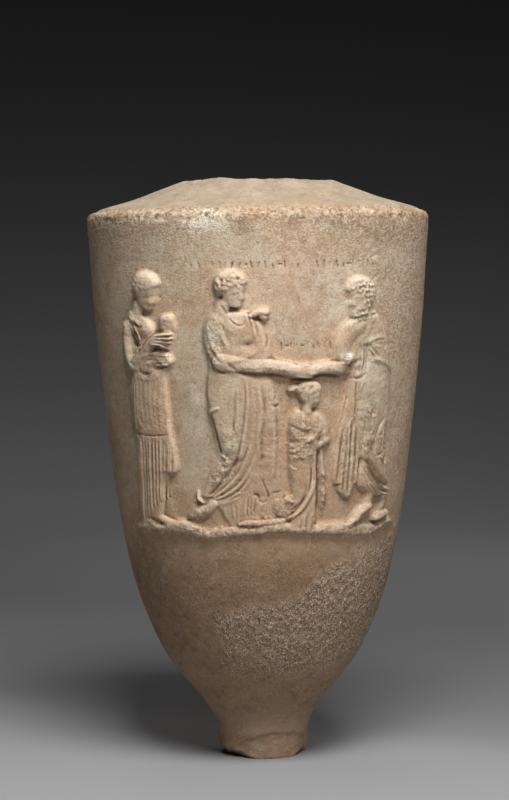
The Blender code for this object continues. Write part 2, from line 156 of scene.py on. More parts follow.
def mound(centre, size, turn, wall, bulge, blend=1.2):
    # wall + bulge * (1 - q^2)^0.6, q the distance in a turned ellipse
    c, s = np.cos(np.radians(turn)), np.sin(np.radians(turn))
    w = patch(np.array(centre) - max(size) - 4, np.array(centre) + max(size) + 4)
    da, dz = gridA[w] - centre[0], gridZ[w] - centre[1]
    q = np.hypot((da * c + dz * s) / size[0], (dz * c - da * s) / size[1])
    inside = wall * np.clip((1 - q) * min(size) / 1.5, 0, 1) + bulge * np.clip(1 - q * q, 0, 1) ** 0.6
    join(w, np.where(q < 1, inside, (1 - q) * min(size) * 3), blend)


def swell(centre, size, turn, rise):
    # soft rise (or hollow) added to what is there: rise * exp(-q^2)
    c, s = np.cos(np.radians(turn)), np.sin(np.radians(turn))
    w = patch(np.array(centre) - max(size) * 2.4, np.array(centre) + max(size) * 2.4)
    da, dz = gridA[w] - centre[0], gridZ[w] - centre[1]
    q2 = ((da * c + dz * s) / size[0]) ** 2 + ((dz * c - da * s) / size[1]) ** 2
    carved[w] += rise * np.exp(-q2) * np.clip(carved[w] / 2, 0, 1)


def garment(edges, wall, bulge, square=2.6, top=6.0, hem=2.0, blend=1.5, edgeWave=0.0, soft=(1.3, 1.3)):
    # between a left and a right edge: wall + bulge * (1 - |x|^square)^0.7, closed softly at top, hem and sides
    e = smoothPath(edges, 60)[::-1]
    w = patch((e[:, 1].min() - 5, e[0, 0] - 4), (e[:, 2].max() + 5, e[-1, 0] + 4))
    a, z = gridA[w], gridZ[w]
    shift = edgeWave * np.sin(z / 5.1 + edges[0][1]) * np.sin(z / 13.7)
    left, right = np.interp(z, e[:, 0], e[:, 1]) + shift, np.interp(z, e[:, 0], e[:, 2]) + shift
    half = np.maximum(right - left, 1) / 2
    q = np.abs(a - (left + right) / 2) / half
    intoTop, intoHem = np.clip((e[-1, 0] - z) / top, 0, 1), np.clip((z - e[0, 0]) / hem, 0, 1)
    fade = np.sqrt((1 - (1 - intoTop) ** 2) * (1 - (1 - intoHem) ** 2))
    fade = fade * smoothStep(0, soft[0], a - left) * smoothStep(0, soft[1], right - a)
    down = (e[-1, 0] - z) / (e[-1, 0] - e[0, 0])
    inside = fade * (spread(wall, down) + spread(bulge, down) * np.clip(1 - q ** square, 0, 1) ** 0.7)
    join(w, np.where((q < 1) & (z < e[-1, 0]) & (z > e[0, 0]), inside, -4), blend)


def broken(centre, size, turn, depth, grain, seed, lift=0.0):
    # battered stone: noise of this grain (mm) inside a soft turned ellipse
    c, s = np.cos(np.radians(turn)), np.sin(np.radians(turn))
    w = patch(np.array(centre) - max(size) * 1.5, np.array(centre) + max(size) * 1.5)
    da, dz = gridA[w] - centre[0], gridZ[w] - centre[1]
    q = np.hypot((da * c + dz * s) / size[0], (dz * c - da * s) / size[1])
    near = smoothStep(1.35, 0.6, q)
    carved[w] += near * (depth * layered(onWall[w], grain / 1000, seed, 3) + lift)
    battered[w] = np.maximum(battered[w], near * min(depth / 2.6, 1))


def curls(centre, size, count, radius, height, seed):
    # small curls in an ellipse, spread by the golden angle: height * (exp(-1.6 q^2) - 0.42 exp(-0.5 q^2)) each
    rng = np.random.default_rng(seed)
    for k in range(count):
        r, t = math.sqrt((k + 0.5) / count), 2.39996 * k
        a = centre[0] + size[0] * r * math.cos(t) + rng.normal(0, 1.1)
        z = centre[1] + size[1] * r * math.sin(t) + rng.normal(0, 1.1)
        w = patch((a - 3 * radius, z - 3 * radius), (a + 3 * radius, z + 3 * radius))
        q2 = ((gridA[w] - a) ** 2 + (gridZ[w] - z) ** 2) / radius ** 2
        lump = np.exp(-1.6 * q2) - 0.42 * np.exp(-0.5 * q2)
        carved[w] += height * rng.uniform(0.7, 1.3) * lump * smoothStep(2.5, 6, carved[w])


def fold(points, width, height, side=0.0, ends=0.2, onto=2.0, count=30):
    # ridge height * exp(-1.4 q^2), q the distance over the width, less a valley of share side beside it
    w, share, distance = besidePath(smoothPath(points, count), 3 * np.max(width))
    q = distance / spread(width, share)
    shape = np.exp(-1.4 * q * q) - abs(side) * np.exp(-1.6 * (q - 1.5 * np.sign(side)) ** 2)
    fade = np.sqrt(np.clip(share / ends, 0, 1) * np.clip((1 - share) / ends, 0, 1))
    mask = np.clip(carved[w] / onto, 0, 1) if onto else 1
    carved[w] += relief["foldGain"] * spread(height, share) * shape * fade * mask * (np.abs(q) < 3)


def folds(first, last, count, width, height, side=0.6, ends=0.2, seed=0, wander=0.7):
    # folds that fan out from the first path to the last, each a little its own way
    rng = np.random.default_rng(seed)
    first, last = np.array(first, float), np.array(last, float)
    for k in np.linspace(0, 1, count):
        fold(first * (1 - k) + last * k + rng.normal(0, wander, first.shape), width,
             np.array(height) * rng.uniform(0.7, 1.25), side, ends)


# ---- heads: a surface of two parameters turned in space and laid into the map ----
headForm = {"rows": 240, "columns": 320,
            # share of the head's height, half width, depth in front of the axis, depth behind it
            "sections": [(0.00, 0.02, 0.12, 0.00), (0.025, 0.12, 0.235, 0.03), (0.08, 0.175, 0.285, 0.06),
                         (0.15, 0.215, 0.285, 0.12), (0.25, 0.247, 0.295, 0.24), (0.38, 0.277, 0.305, 0.35),
                         (0.50, 0.294, 0.318, 0.42), (0.60, 0.305, 0.342, 0.450), (0.72, 0.305, 0.345, 0.455),
                         (0.83, 0.280, 0.305, 0.415), (0.92, 0.215, 0.230, 0.320), (0.975, 0.125, 0.135, 0.19),
                         (1.00, 0.005, 0.005, 0.005)]}


def bell(x, y, x0, y0, sx, sy):
    return np.exp(-((x - x0) / sx) ** 2 - ((y - y0) / sy) ** 2)


def headSurface(hair, beard, seed):
    # upright v and turn t: (w sin t, v, f cos t) with w and f read from the sections, then features pushed out
    s = smoothPath(headForm["sections"], 200)
    v = 0.5 - 0.5 * np.cos(np.linspace(0, np.pi, headForm["rows"]))
    t = np.linspace(-np.pi, np.pi, headForm["columns"])
    v, t = np.meshgrid(v, t, indexing="ij")
    half, front, back = (np.interp(v, s[:, 0], s[:, k]) for k in (1, 2, 3))
    bow = np.abs(np.cos(t)) ** 0.85
    x = half * np.sin(t)
    depth = np.where(np.cos(t) > 0, front, back)
    z = depth * bow * np.sign(np.cos(t))
    facing = np.clip(np.cos(t), 0, 1) ** 0.5
    ax = np.abs(x)
    # face: brow, sockets, lids, nose, lips, chin, cheeks
    push = 0.018 * bell(ax, v, 0.10, 0.575, 0.085, 0.022)
    push -= 0.050 * bell(ax, v, 0.125, 0.500, 0.070, 0.045) + 0.020 * bell(ax, v, 0.055, 0.515, 0.03, 0.03)
    push += 0.040 * bell(ax, v, 0.125, 0.492, 0.052, 0.026)
    push -= 0.012 * bell(ax, v - 0.10 * (ax - 0.12) ** 2, 0.125, 0.522, 0.055, 0.006)
    push -= 0.010 * bell(ax, v, 0.125, 0.466, 0.050, 0.006)
    slope = np.clip((0.545 - v) / 0.215, 0, 1)
    nose = np.where(v < 0.545, 0.022 + 0.085 * slope, 0.022 * np.exp(-((v - 0.545) / 0.04) ** 2))
    nose = nose * 1 / (1 + np.exp(-(v - 0.313) / 0.007))
    push += nose * np.exp(-(ax / (0.024 + 0.022 * slope)) ** 2)
    push += 0.030 * bell(ax, v, 0.047, 0.332, 0.020, 0.020)
    push += 0.028 * bell(ax, v, 0.0, 0.228, 0.068, 0.016) * (1 - 0.25 * bell(ax, v, 0, 0.24, 0.015, 0.02))
    push += 0.026 * bell(ax, v, 0.0, 0.183, 0.055, 0.015)
    push -= 0.020 * bell(ax, v, 0.0, 0.206, 0.072, 0.006)
    push -= 0.015 * bell(ax, v, 0.0, 0.150, 0.060, 0.016)
    push += 0.022 * bell(ax, v, 0.0, 0.085, 0.065, 0.040)
    push += 0.012 * bell(ax, v, 0.165, 0.375, 0.06, 0.06)
    z = z + 1.5 * push * facing
    # ears
    side = np.abs(np.abs(t) - 1.72)
    ear = bell(side, v, 0, 0.475, 0.16, 0.085) - 0.8 * bell(side, v, 0.02, 0.49, 0.085, 0.045)
    out = 0.045 * np.clip(ear, 0, 1)
    # hair: where the turn and height lie behind the hairline
    line = np.interp(np.abs(t), [0, 0.55, 1.0, 1.35, 1.62, 1.9, 2.4, np.pi],
                     [0.800, 0.785, 0.715, 0.600, 0.560, 0.380, 0.20, 0.16])
    grown = 1 / (1 + np.exp(-(v - line - 0.012 * np.sin(t * 9 + seed)) / 0.018))
    rng = np.random.default_rng(seed)
    if hair == "combed":
        strand = np.sin(t * 26 + 5 * np.sin(v * 5.5)) * 0.010 + np.sin(t * 13 + 9 * v) * 0.006
        grown = 1 / (1 + np.exp(-(v - line - 0.01) / 0.021))
        out = np.maximum(out, grown * (0.066 + 1.25 * strand * np.clip((1 - v) * 7, 0, 1)))
    elif hair == "tied":
        strand = np.sin(v * 60 + 2.5 * np.cos(t * 1.5) + 0.6 * np.sin(t * 9)) * 0.010
        out = np.maximum(out, grown * (0.055 + strand))
    elif hair == "locks":
        lift = np.zeros_like(v)
        for _ in range(260):
            t0, v0 = rng.uniform(-np.pi, np.pi), rng.uniform(0.15, 1.0)
            size = rng.uniform(0.040, 0.062)
            dt = np.angle(np.exp(1j * (t - t0))) * np.interp(v0, s[:, 0], s[:, 1])
            lean = rng.uniform(-0.8, 0.8)
            r2 = ((dt + lean * (v - v0)) ** 2 * 1.6 + (v - v0) ** 2 * 0.7) / size ** 2
            lift = np.maximum(lift, np.exp(-r2))
        out = np.maximum(out, grown * (0.045 + 0.055 * lift))
    if beard:
        cheek = np.interp(np.abs(t), [0, 0.25, 0.5, 0.9, 1.3, 1.7], [0.150, 0.165, 0.27, 0.33, 0.42, 0.50])
        low = (1 / (1 + np.exp((v - cheek) / 0.010))) * (np.abs(t) < 1.75)
        low = np.maximum(low, bell(ax, v, 0.03, 0.250, 0.075, 0.013) * 0.8)
        lift = np.zeros_like(v)
        for _ in range(110):
            t0, v0 = rng.uniform(-1.75, 1.75), rng.uniform(-0.02, 0.5)
            size = rng.uniform(0.040, 0.060)
            dt = (t - t0) * 0.26
            r2 = (dt ** 2 * 1.5 + (v - v0) ** 2 * 0.7) / size ** 2
            lift = np.maximum(lift, np.exp(-r2))
        out = np.maximum(out, low * (0.025 + 0.055 * lift))
        v = v - 0.055 * low * np.clip(1 - v / 0.2, 0, 1)
        z = z + 0.045 * low * facing * np.clip(1 - v / 0.3, 0, 1)
    length = np.sqrt(np.sin(t) ** 2 + 1e-6 + np.cos(t) ** 2)
    x = x + out * np.sin(t) / length
    z = z + out * np.cos(t) / length
    lifted = v + out * np.clip((v - 0.72) / 0.28, 0, 1) ** 1.5
    return np.stack([x, lifted - 0.45, z], axis=-1)


def turned(yaw, nod, tilt):
    # yaw about the upright, then nod, then tilt in the plane of the wall (degrees)
    y, n, t = np.radians([yaw, nod, tilt])
    aboutY = np.array([[np.cos(y), 0, np.sin(y)], [0, 1, 0], [-np.sin(y), 0, np.cos(y)]])
    aboutX = np.array([[1, 0, 0], [0, np.cos(n), -np.sin(n)], [0, np.sin(n), np.cos(n)]])
    aboutZ = np.array([[np.cos(t), -np.sin(t), 0], [np.sin(t), np.cos(t), 0], [0, 0, 1]])
    return aboutZ @ aboutX @ aboutY


def head(centre, tall, yaw, nod, tilt, hair="combed", beard=False, out=8.0, flatness=0.40, seed=1, wide=1.12):
    # the nearest point of the turned surface over each map point, its depth pressed by the flatness
    p = headSurface(hair, beard, seed) * (wide, 1, wide) @ turned(yaw, nod, tilt).T
    a, z, d = (p[..., k].ravel() for k in range(3))
    j = np.rint((a * tall + centre[0] - relief["left"]) / relief["pitch"]).astype(int)
    i = np.rint((z * tall + centre[1] - relief["low"]) / relief["pitch"]).astype(int)
    layer = np.full(carved.shape, -9.0)
    fits = (i >= 0) & (i < carved.shape[0]) & (j >= 0) & (j < carved.shape[1]) & (d > -0.16)
    np.maximum.at(layer, (i[fits], j[fits]), out + tall * flatness * (d[fits] + 0.16))
    w = patch(np.array(centre) - tall * 0.8, np.array(centre) + tall * 0.8)
    grown = layer[w]                                                  # close the gaps between samples
    for pick in (np.maximum, np.maximum, np.maximum, np.maximum, np.minimum, np.minimum, np.minimum, np.minimum):
        grown = pick.reduce([grown] + [np.roll(grown, step, axis) for axis in (0, 1) for step in (-1, 1)])
    layer[w] = np.where(layer[w] < -8, grown, layer[w])
    join(w, layer[w], 0.8)
# ---- the figures, from the back of the relief to the front ----
grooveShade = np.zeros_like(gridA)         # painted shade along grooves and in the strokes, 0 to 1


def shadedGroove(points, width, depth, dark=0.8, ends=0.2):
    # a groove with painted shade along it: a fold pressed in, and exp(-q^2) on the chart of painted groove shade
    fold(points, width, -depth, ends=ends, onto=0)
    w, share, distance = besidePath(smoothPath(points), 3 * np.max(width))
    fade = np.sqrt(np.clip(share / ends, 0, 1) * np.clip((1 - share) / ends, 0, 1))
    grooveShade[w] = np.maximum(grooveShade[w], dark * fade * np.exp(-(distance / spread(width, share)) ** 2))


def groundLedge():
    # middle line, half thickness, how far it stands out
    line = [(-192, 1, 1.5, 2), (-178, 3.5, 4, 6), (-160, 4.5, 4.5, 8), (-140, 4.5, 5, 8), (-124, 5, 7, 8), (-104, 7.5, 8, 9),
            (-92, 6, 8, 8), (-78, 0, 7, 6), (-62, -2.5, 6.5, 6), (-44, 1, 6.5, 6), (-26, 3, 7, 7), (-8, 3, 6.5, 7),
            (12, 7, 6.5, 8), (32, 7, 6.5, 8), (48, 3, 5.5, 7), (66, 3, 6.5, 7), (86, 2.5, 8, 8), (104, 2, 8.5, 8),
            (120, -1, 8.5, 7), (138, -2, 8.5, 6), (154, -3, 7, 6), (168, -1, 4, 6), (180, 3.5, 3.6, 6), (190, 5.5, 3.6, 6),
            (200, 3, 3, 4), (212, -1.5, 1.5, 2)]
    limb([(a, z) for a, z, r, h in line], [r for a, z, r, h in line], [0.65 * h for a, z, r, h in line],
         [0.80 * h for a, z, r, h in line])
    rng = np.random.default_rng(31)
    for a in np.arange(-176, 200, 7.5):
        z = np.interp(a, [p[0] for p in line], [p[1] for p in line])
        mound((a + rng.uniform(-4, 4), z + rng.uniform(-5, 2)), (rng.uniform(3.5, 8), rng.uniform(2.5, 4.5)),
              rng.uniform(-30, 30), rng.uniform(2, 5), rng.uniform(2, 5), 2.0)
    for a, z, long in ((-160, 0, 22), (-12, -4.5, 16), (20, -1, 18), (88, -6, 20)):
        fold([(a - long, z + 1), (a, z), (a + long, z - 1)], 3.0, -1.6, ends=0.3, onto=0)
    for k, a in enumerate(np.arange(-176, 200, 26)):
        broken((a, np.interp(a, [p[0] for p in line], [p[1] for p in line]) - 2), (20, 9), 0, 2.0, 6.5, 310 + k, 0.3)
    broken((-68, 2), (30, 9), 0, 2.4, 9, 32)


def drawIn(start, full, shift, topZ):
    # slides what is carved so far along the wall: by shift left of full, easing to nothing at start and at topZ
    moved = shift * smoothStep(start, full, gridA) * smoothStep(topZ, topZ - 12, gridZ) * smoothStep(4, 14, gridZ)
    source = (gridA - moved - relief["left"]) / relief["pitch"]
    left = np.clip(source.astype(int), 0, len(lineA) - 2)
    part = np.clip(source - left, 0, 1)
    rows = np.arange(len(lineZ))[:, None]
    for chart in (carved, battered, grooveShade):
        chart[:] = chart[rows, left] * (1 - part) + chart[rows, left + 1] * part


def nurseWithChild():
    garment([(268, -176, -148), (259, -186, -140), (247, -190, -133), (230, -188, -126), (208, -185, -120),
             (196, -187, -119), (180, -190, -118), (160, -190, -117), (142, -189, -115), (130, -184, -113.5), (120, -181, -112),
             (105, -180, -108.5), (88, -180, -105.5), (78, -179.5, -105), (73, -179.5, -108)],
            [4, 5.5, 6, 6, 6], [5, 7, 7.5, 7, 6], top=8, hem=3, soft=(1.4, 3.5))
    garment([(96, -179, -112), (80, -179.5, -115), (60, -180, -121), (40, -179.5, -124), (20, -179, -127), (5, -178, -130)],
            5.5, 6.5, top=8, hem=1.5, soft=(1.4, 7))
    garment([(60, -140, -112), (40, -140, -111), (20, -140, -110), (8, -140, -108)], 1, 2.2, square=2, top=24, hem=3, soft=(8, 8))
    swell((-140, 160), (16, 40), 0, 1.2)
    swell((-172, 150), (9, 34), 0, 1.0)
    # pleats of the upper skirt: fine and close at the left, broad and worn away at the right
    folds([(-186, 192), (-187.5, 165), (-186, 142)], [(-168, 196), (-166, 165), (-166, 141)], 4, 1.6, 0.8, 0.6, seed=40, wander=0.5)
    folds([(-162, 190), (-162, 160), (-159, 126)], [(-128, 188), (-128, 160), (-124, 126)], 6, [1.7, 2.6], 0.55, 0.5, seed=41, wander=1.2)
    # crack across the skirt with broken edges
    fold([(-183, 121), (-172, 121.5), (-160, 121), (-146, 120), (-130, 120.5), (-116, 121.5)], 1.0, [-1.4, -1.2, -1.5, -2.0, -1.8, -0.8],
         ends=0.08)
    broken((-171, 127), (9, 11), 20, 3.0, 6, 43, -0.6)
    mound((-169, 118), (4.5, 2.6), 10, 8, 3.6)
    mound((-173, 132), (7, 3.2), -15, 7.5, 4)
    # pleats of the lower skirt, upright and close
    rng = np.random.default_rng(5)
    for i, a in enumerate((-176.5, -172, -167, -161.5, -155.5, -150.5, -145, -139.5, -134.5, -129.5, -124, -118.5)):
        low = 12 if a < -150 else 22 + (a + 150) * 0.75
        high = 116 if a < -126 else 108
        w, h = (1.9, 1.5) if i % 3 else (2.4, 2.1)
        lean = (a + 165) * 0.06
        fold([(a + lean, high), (a + 0.4 * lean + rng.uniform(-0.9, 0.9), 78), (a + rng.uniform(-0.5, 0.5), 48),
              (a + rng.uniform(-0.8, 0.8), low)], w, rng.uniform(0.65, 1.15, 4) * h, 0.85, ends=0.08)
    fold([(-158.5, 104), (-158, 70), (-159, 30)], 1.6, -1.6, ends=0.2)
    fold([(-147.8, 110), (-147.5, 80), (-148, 40)], 1.2, -1.4, ends=0.2)
    fold([(-163.5, 118), (-165, 100), (-165.5, 60)], 1.6, 1.6, ends=0.2)
    folds([(-122, 92), (-119, 80), (-117, 66)], [(-112, 88), (-110, 78), (-111, 70)], 3, 1.4, 1.1, 0.8, seed=44)
    # hem rising over the foot
    limb([(-153, 29), (-146, 25), (-138, 19), (-128, 13), (-116, 9), (-100, 9)], [1.6, 2.6, 4.5, 6, 6.5, 5], 5, 6)
    fold([(-158, 17), (-148, 15), (-136, 10), (-126, 6)], 2.0, -2.6, ends=0.25, onto=0)
    limb([(-158, 6.5), (-148, 7.5), (-136, 6)], [2.5, 3, 2.4], 7, 5)
    # chest and shoulders
    limb([(-172, 268), (-182, 261), (-187, 250)], [9, 9.5, 8.5], 5, 8.5)
    mound((-161, 256), (21, 15), -12, 5, 8.5)
    mound((-149, 251), (12.5, 12), 0, 5, 9.5)
    mound((-168, 241), (10, 12), -25, 4, 9)
    fold([(-181, 268), (-170, 263.5), (-160, 260), (-153, 254)], [1.8, 2.6, 2.0], 1.9, -1.0)
    fold([(-162, 259), (-157, 255.5), (-151, 254)], 1.6, -1.6)
    fold([(-178, 265), (-168, 257), (-160, 247), (-156, 237)], [1.8, 2.8, 2.2], 2.4, -1.2)
    fold([(-184, 262), (-176, 251), (-168, 241)], [1.8, 2.4], 1.6, -0.9)
    fold([(-158, 267), (-148, 263), (-140, 254)], [1.6, 2.0], 1.1, 0.7)
    drawIn(-150, -180, 8.5, 276)
    shadedGroove([(-176, 194), (-178, 170), (-177.5, 140), (-171, 110), (-170, 60), (-169, 20)], 1.3, 0.9, 0.5)
    # her right arm, bare to the shoulder
    limb([(-179.5, 256), (-181, 241), (-179, 224), (-172.5, 209)], [9.2, 9.6, 9.4, 9.2], 7, 9.5)
    fold([(-171, 249), (-168, 241), (-165, 234), (-160, 231)], [2.4, 3.2, 4.6, 3.4], -7, ends=0.35, onto=0)
    fold([(-187, 246), (-180, 245), (-173, 243)], 1.4, -0.9)
    limb([(-170, 208), (-162, 214.5), (-153, 222), (-144, 230)], [9.4, 9.4, 8.6, 7.0], 8, 10)
    mound((-168, 207), (9.8, 7.6), 0, 8, 9.5)
    fold([(-162, 206), (-166, 210), (-172, 211)], 1.5, -1.0)
    shadedGroove([(-187, 264), (-191.5, 250), (-192, 236), (-189.5, 222), (-183, 206), (-176, 199)], 1.4, 1.4, 0.65)
    # the wrapped child
    limb([(-153, 204), (-145, 208), (-134, 214), (-124, 226), (-117, 244)], [5.5, 8.4, 10.5, 11, 9.5], 7, 7.5)
    fold([(-158, 200), (-150, 196.5), (-143, 198)], 2.0, -3.0, ends=0.3, onto=0)
    fold([(-151, 217), (-141, 222), (-131, 224)], 2.2, 1.5, 0.7)
    fold([(-147, 209), (-139, 212), (-133, 213)], 2.0, 1.0, 0.7)
    mound((-117, 254), (12.5, 11.5), -8, 3, 6.0)
    head((-117.5, 258), 20, -38, 8, 14, "combed", out=7, flatness=0.5, seed=9, wide=1.25)
    curls((-117, 261), (9, 6), 16, 2.0, 1.2, 89)
    # hands round it
    limb([(-150, 229), (-141, 237), (-132, 241)], [6.4, 6.8, 6.6], 12, 7.5)
    for i, (a, z) in enumerate([(-110, 246.5), (-110, 241), (-112, 235.5), (-117, 231)]):
        limb([(-135, 244 - 3.2 * i), (-123, 245.6 - 4.0 * i), (a, z)], [3.1, 2.9, 2.3], 14, 5.6, blend=0.5)
    fold([(-141, 228.5), (-130, 227.5), (-120, 226), (-113, 224.5)], [1.8, 2.8, 2.8, 2], -5.5, ends=0.2, onto=0)
    limb([(-114, 213), (-122, 214), (-129, 216)], [4.6, 5.8, 5.4], 9, 4.5)
    for i, (a, z) in enumerate([(-140, 221.5), (-141, 216.5), (-139, 211.5), (-135, 207)]):
        limb([(-115, 220 - 3.7 * i), (-127, 220.5 - 4.0 * i), (a, z)], [2.8, 2.6, 2.0], 10.5, 3.6, blend=1.6)
    broken((-126, 213), (14, 9), 0, 2.4, 5.5, 48, -0.4)
    fold([(-136, 206), (-128, 204), (-120, 206)], 2.2, -3.5, ends=0.3, onto=0)
    broken((-152, 195), (20, 8), 0, 2.0, 5.5, 42)
    broken((-128, 150), (10, 34), 0, 1.0, 7, 41)
    # neck and head
    limb([(-166, 270), (-162, 282)], [9.5, 9], 3, 8.5)
    head((-149, 296), 41.5, 46, 26, -8, "combed", out=7, flatness=0.43, seed=2, wide=1.12)
    fold([(-174.5, 300), (-174, 291), (-171, 281)], [3.4, 4.4, 3.2], -3.4, ends=0.3, onto=0)
    curls((-150.5, 310), (15, 8), 34, 2.3, 1.3, 90)


def beardedMan():
    # cloth hanging in front of the legs
    garment([(166, 106, 134), (145, 102.5, 134), (125, 97.5, 133), (105, 94, 132), (85, 92, 131), (66, 91, 131), (57, 91, 130)],
            4.5, 3.5, square=3, top=12, hem=2, edgeWave=0.5)
    garment([(96, 99, 128), (70, 100, 126), (52, 98, 122), (44, 102, 118), (39, 107, 115)], 5.5, 3.5, square=2.6, top=12, hem=2,
            edgeWave=0.5)
    # lower legs in cloth
    garment([(112, 126, 168), (98, 129, 173), (84, 131, 180), (68, 128, 184), (55, 126, 186), (47, 134, 186), (41, 150, 185),
             (38, 164, 182)], 5.5, 6, top=8, hem=2, edgeWave=0.5)
    # cloak round the body
    garment([(272, 128, 158), (262, 113, 167), (250, 103, 174), (238, 97, 178), (226, 94, 180), (214, 94, 181), (206, 105, 182),
             (196, 112, 183), (182, 113, 184.5), (166, 112, 184), (150, 113, 180), (132, 118, 173), (115, 124, 169),
             (100, 128, 170), (88, 131, 174)], [4, 5.5, 5.5, 5, 5], [6, 9, 9.5, 9, 7], top=6, hem=8, soft=(1.4, 2.2))
    limb([(164, 200), (166, 172), (165, 138), (158, 106)], [19, 19, 17, 13], 3.5, 8.5)
    limb([(125, 252), (113, 243), (106, 231), (105, 219)], [13, 13.5, 12.5, 11], 6.5, 9)
    # forearm
    limb([(114, 202), (102, 203), (88, 203.5), (70, 202), (60, 200)], [8.4, 8.8, 8.2, 7.4, 6.8], [6, 9, 9, 9, 9], [6, 8, 9, 9, 9], 2.0)
    # wad of cloth over the elbow
    swell((112, 200), (8, 6), 0, -3.0)
    mound((112, 213.5), (11.5, 8), 8, 12.5, 5, 1.6)
    broken((112, 212), (12, 9), 5, 4.0, 6.5, 54)
    fold([(128, 213), (121, 208), (113, 204)], [2, 3.4, 3], -5, ends=0.3, onto=0)
    swell((117, 224), (3, 5), 0, 1.4)
    fold([(103, 199), (106, 193), (111, 187), (117, 190)], [2.4, 3.2, 3.4, 2.4], -4.0, ends=0.3, onto=0)
    garment([(232, 124, 137), (214, 119, 136), (204, 117, 135.5), (197, 117, 134.5), (190, 119, 133)], [5, 8, 9], 4, square=3, top=12, hem=1.8)
    fold([(131, 226), (129, 210), (127, 193)], [1.4, 2.0, 1.6], 1.6, 0.8)
    fold([(116, 192), (122, 189.5), (129, 190), (134, 196)], 1.6, -2.2, ends=0.15, onto=0)
    swell((124, 200), (5, 5), 20, -2.6)
    fold([(137, 232), (138, 220), (137, 208), (135, 198)], [2.0, 3.0, 3.0, 2.4], -2.6, ends=0.3)
    fold([(133, 186), (129, 180), (127, 171)], 1.6, 1.3, 0.7)
    shadedGroove([(180, 238), (184, 222), (186, 204), (187.5, 184), (188, 166), (185, 150)], [1.2, 1.7, 1.9, 1.7, 1.2], 1.5, 0.7)
    shadedGroove([(127, 189), (125.5, 172), (124.5, 152), (123, 130)], [1.0, 1.4, 1.4, 1.0], 1.8, 0.6)
    # gathered at the shoulder: a knot and folds running from it
    mound((137, 235), (7, 6), -10, 10, 5)
    for end, mid, h in (((168, 239), (154, 239), 1.3), ((166, 233), (153, 235), 0.9), ((160, 225), (151, 230), 0.9),
                        ((159, 217), (150, 225), 1.2), ((151, 210), (145, 221), 1.0)):
        fold([(139, 235), mid, end], [1.8, 2.4, 1.8], h, -0.8, ends=0.22)
    fold([(133, 231), (141, 229), (149, 222), (157, 213)], [1.6, 2.2, 2.2, 1.6], -1.7, ends=0.25)
    broken((137, 234), (8, 9), 0, 2.4, 5, 53)
    fold([(131, 241), (130, 250), (134, 262)], [2, 2.6, 2], 0.8, 0.5)
    fold([(139, 244), (143, 255), (152, 266)], [2, 2.6, 2], 0.9, 0.5)
    swell((127, 226), (3, 6), 20, -2.2)
    fold([(146, 213), (157, 211.5), (168, 207), (179, 199), (182, 188)], [2.6, 3.8, 3.6, 2.6], 2.6, -0.3, ends=0.15)
    fold([(177.5, 234), (177.5, 226), (176.5, 219)], [1.4, 2, 1.4], 1.6, ends=0.3)
    # collar roll from the nape to the elbow
    fold([(160, 271), (148, 271.5), (137, 267.5), (126, 262.5), (114, 257), (104, 248), (98, 237)], [2.4, 2.8, 2.8, 2.6, 2.4],
         [2.8, 2.8, 2.0, 1.0, 0.4], 0.3, ends=0.1)
    fold([(158, 268.5), (150, 267), (143, 264)], 1.8, -2.4, ends=0.25)
    # drapery before the legs
    fold([(110, 168), (105, 152), (100, 134), (94, 110)], [1.2, 1.5, 1.3], 2.4, 0.9, ends=0.1, onto=0)
    fold([(105, 160), (99.5, 140), (93.5, 116)], [1.0, 1.3, 1.1], 1.5, 0.7, ends=0.15, onto=0)
    fold([(103, 128), (100, 108), (97, 86), (94, 62)], [1.8, 2.2, 1.9], 2.2, 0.9, ends=0.1)
    fold([(110, 128), (108, 100), (105, 74), (103, 52)], [2.0, 2.6, 2.1], 1.9, 0.9, ends=0.1)
    fold([(117, 140), (114, 112), (112, 84), (109, 50)], [2.0, 2.6, 2.2], 2.4, 0.9, ends=0.1)
    fold([(124, 132), (121, 106), (119, 78), (115, 48)], [2.0, 2.6, 2.0], 2.0, 0.9, ends=0.1)
    fold([(130.5, 110), (128, 86), (127, 62)], [1.8, 2.2, 1.8], 1.6, 0.9)
    fold([(92, 58.5), (97, 57), (102, 57)], 1.5, -2.4, ends=0.2, onto=0)
    fold([(99, 47), (105, 43), (111, 39), (116, 42)], [1.6, 2.4, 2.8, 2], -3.0, ends=0.25, onto=0)
    broken((114, 96), (14, 40), 0, 2.0, 6, 55)
    # knee, and the hem that swings back from it
    mound((140, 96), (12, 10), 20, 7, 4.5, 2.5)
    for a, low, h in ((122, 96, 0.7), (130, 92, 1.1), (139, 90, 0.8)):
        fold([(a + 4, 160), (a + 2, 142), (a, 120), (a - 2, low)], [1.8, 2.6, 2.6, 1.8], h, 0.7, ends=0.3)
    fold([(169, 139), (160, 128), (152, 112), (150, 92)], [1.4, 2.2, 2.2, 1.6], -2.4, ends=0.2)
    broken((141, 146), (14, 10), 0, 3.2, 5.5, 52)
    broken((146, 106), (12, 11), 0, 3.0, 5.5, 50)
    fold([(139, 88), (147, 80), (155, 70), (165, 60), (176, 53.5), (187, 50.5)], [2.2, 3.8, 5.2, 5.2, 4.0, 2.8], -5.6, ends=0.16, onto=0,
         count=44)
    fold([(140, 81), (149, 69), (159, 58.5), (169, 50.5), (180, 47), (188, 46)], [1.8, 2.3, 2.3, 1.7], 3.6, -0.9, ends=0.1, count=44)
    fold([(146, 58), (154, 50), (164, 44.5), (175, 41.5), (186, 41)], [1.8, 2.2, 2.1, 1.5], 2.6, -0.9, ends=0.12, count=44)
    fold([(127, 52), (134, 49.5), (142, 44), (152, 39.5), (166, 36.5), (181, 38)], [2.2, 3.4, 3.2, 3.2, 2.6], -2.6, ends=0.12, onto=0)
    fold([(163, 96), (165.5, 104), (169, 114)], [1.8, 2.6, 2], 2.6, -0.8)
    fold([(160, 91), (166, 86), (171, 80)], [2, 3, 2.2], 2.2, 0.8)
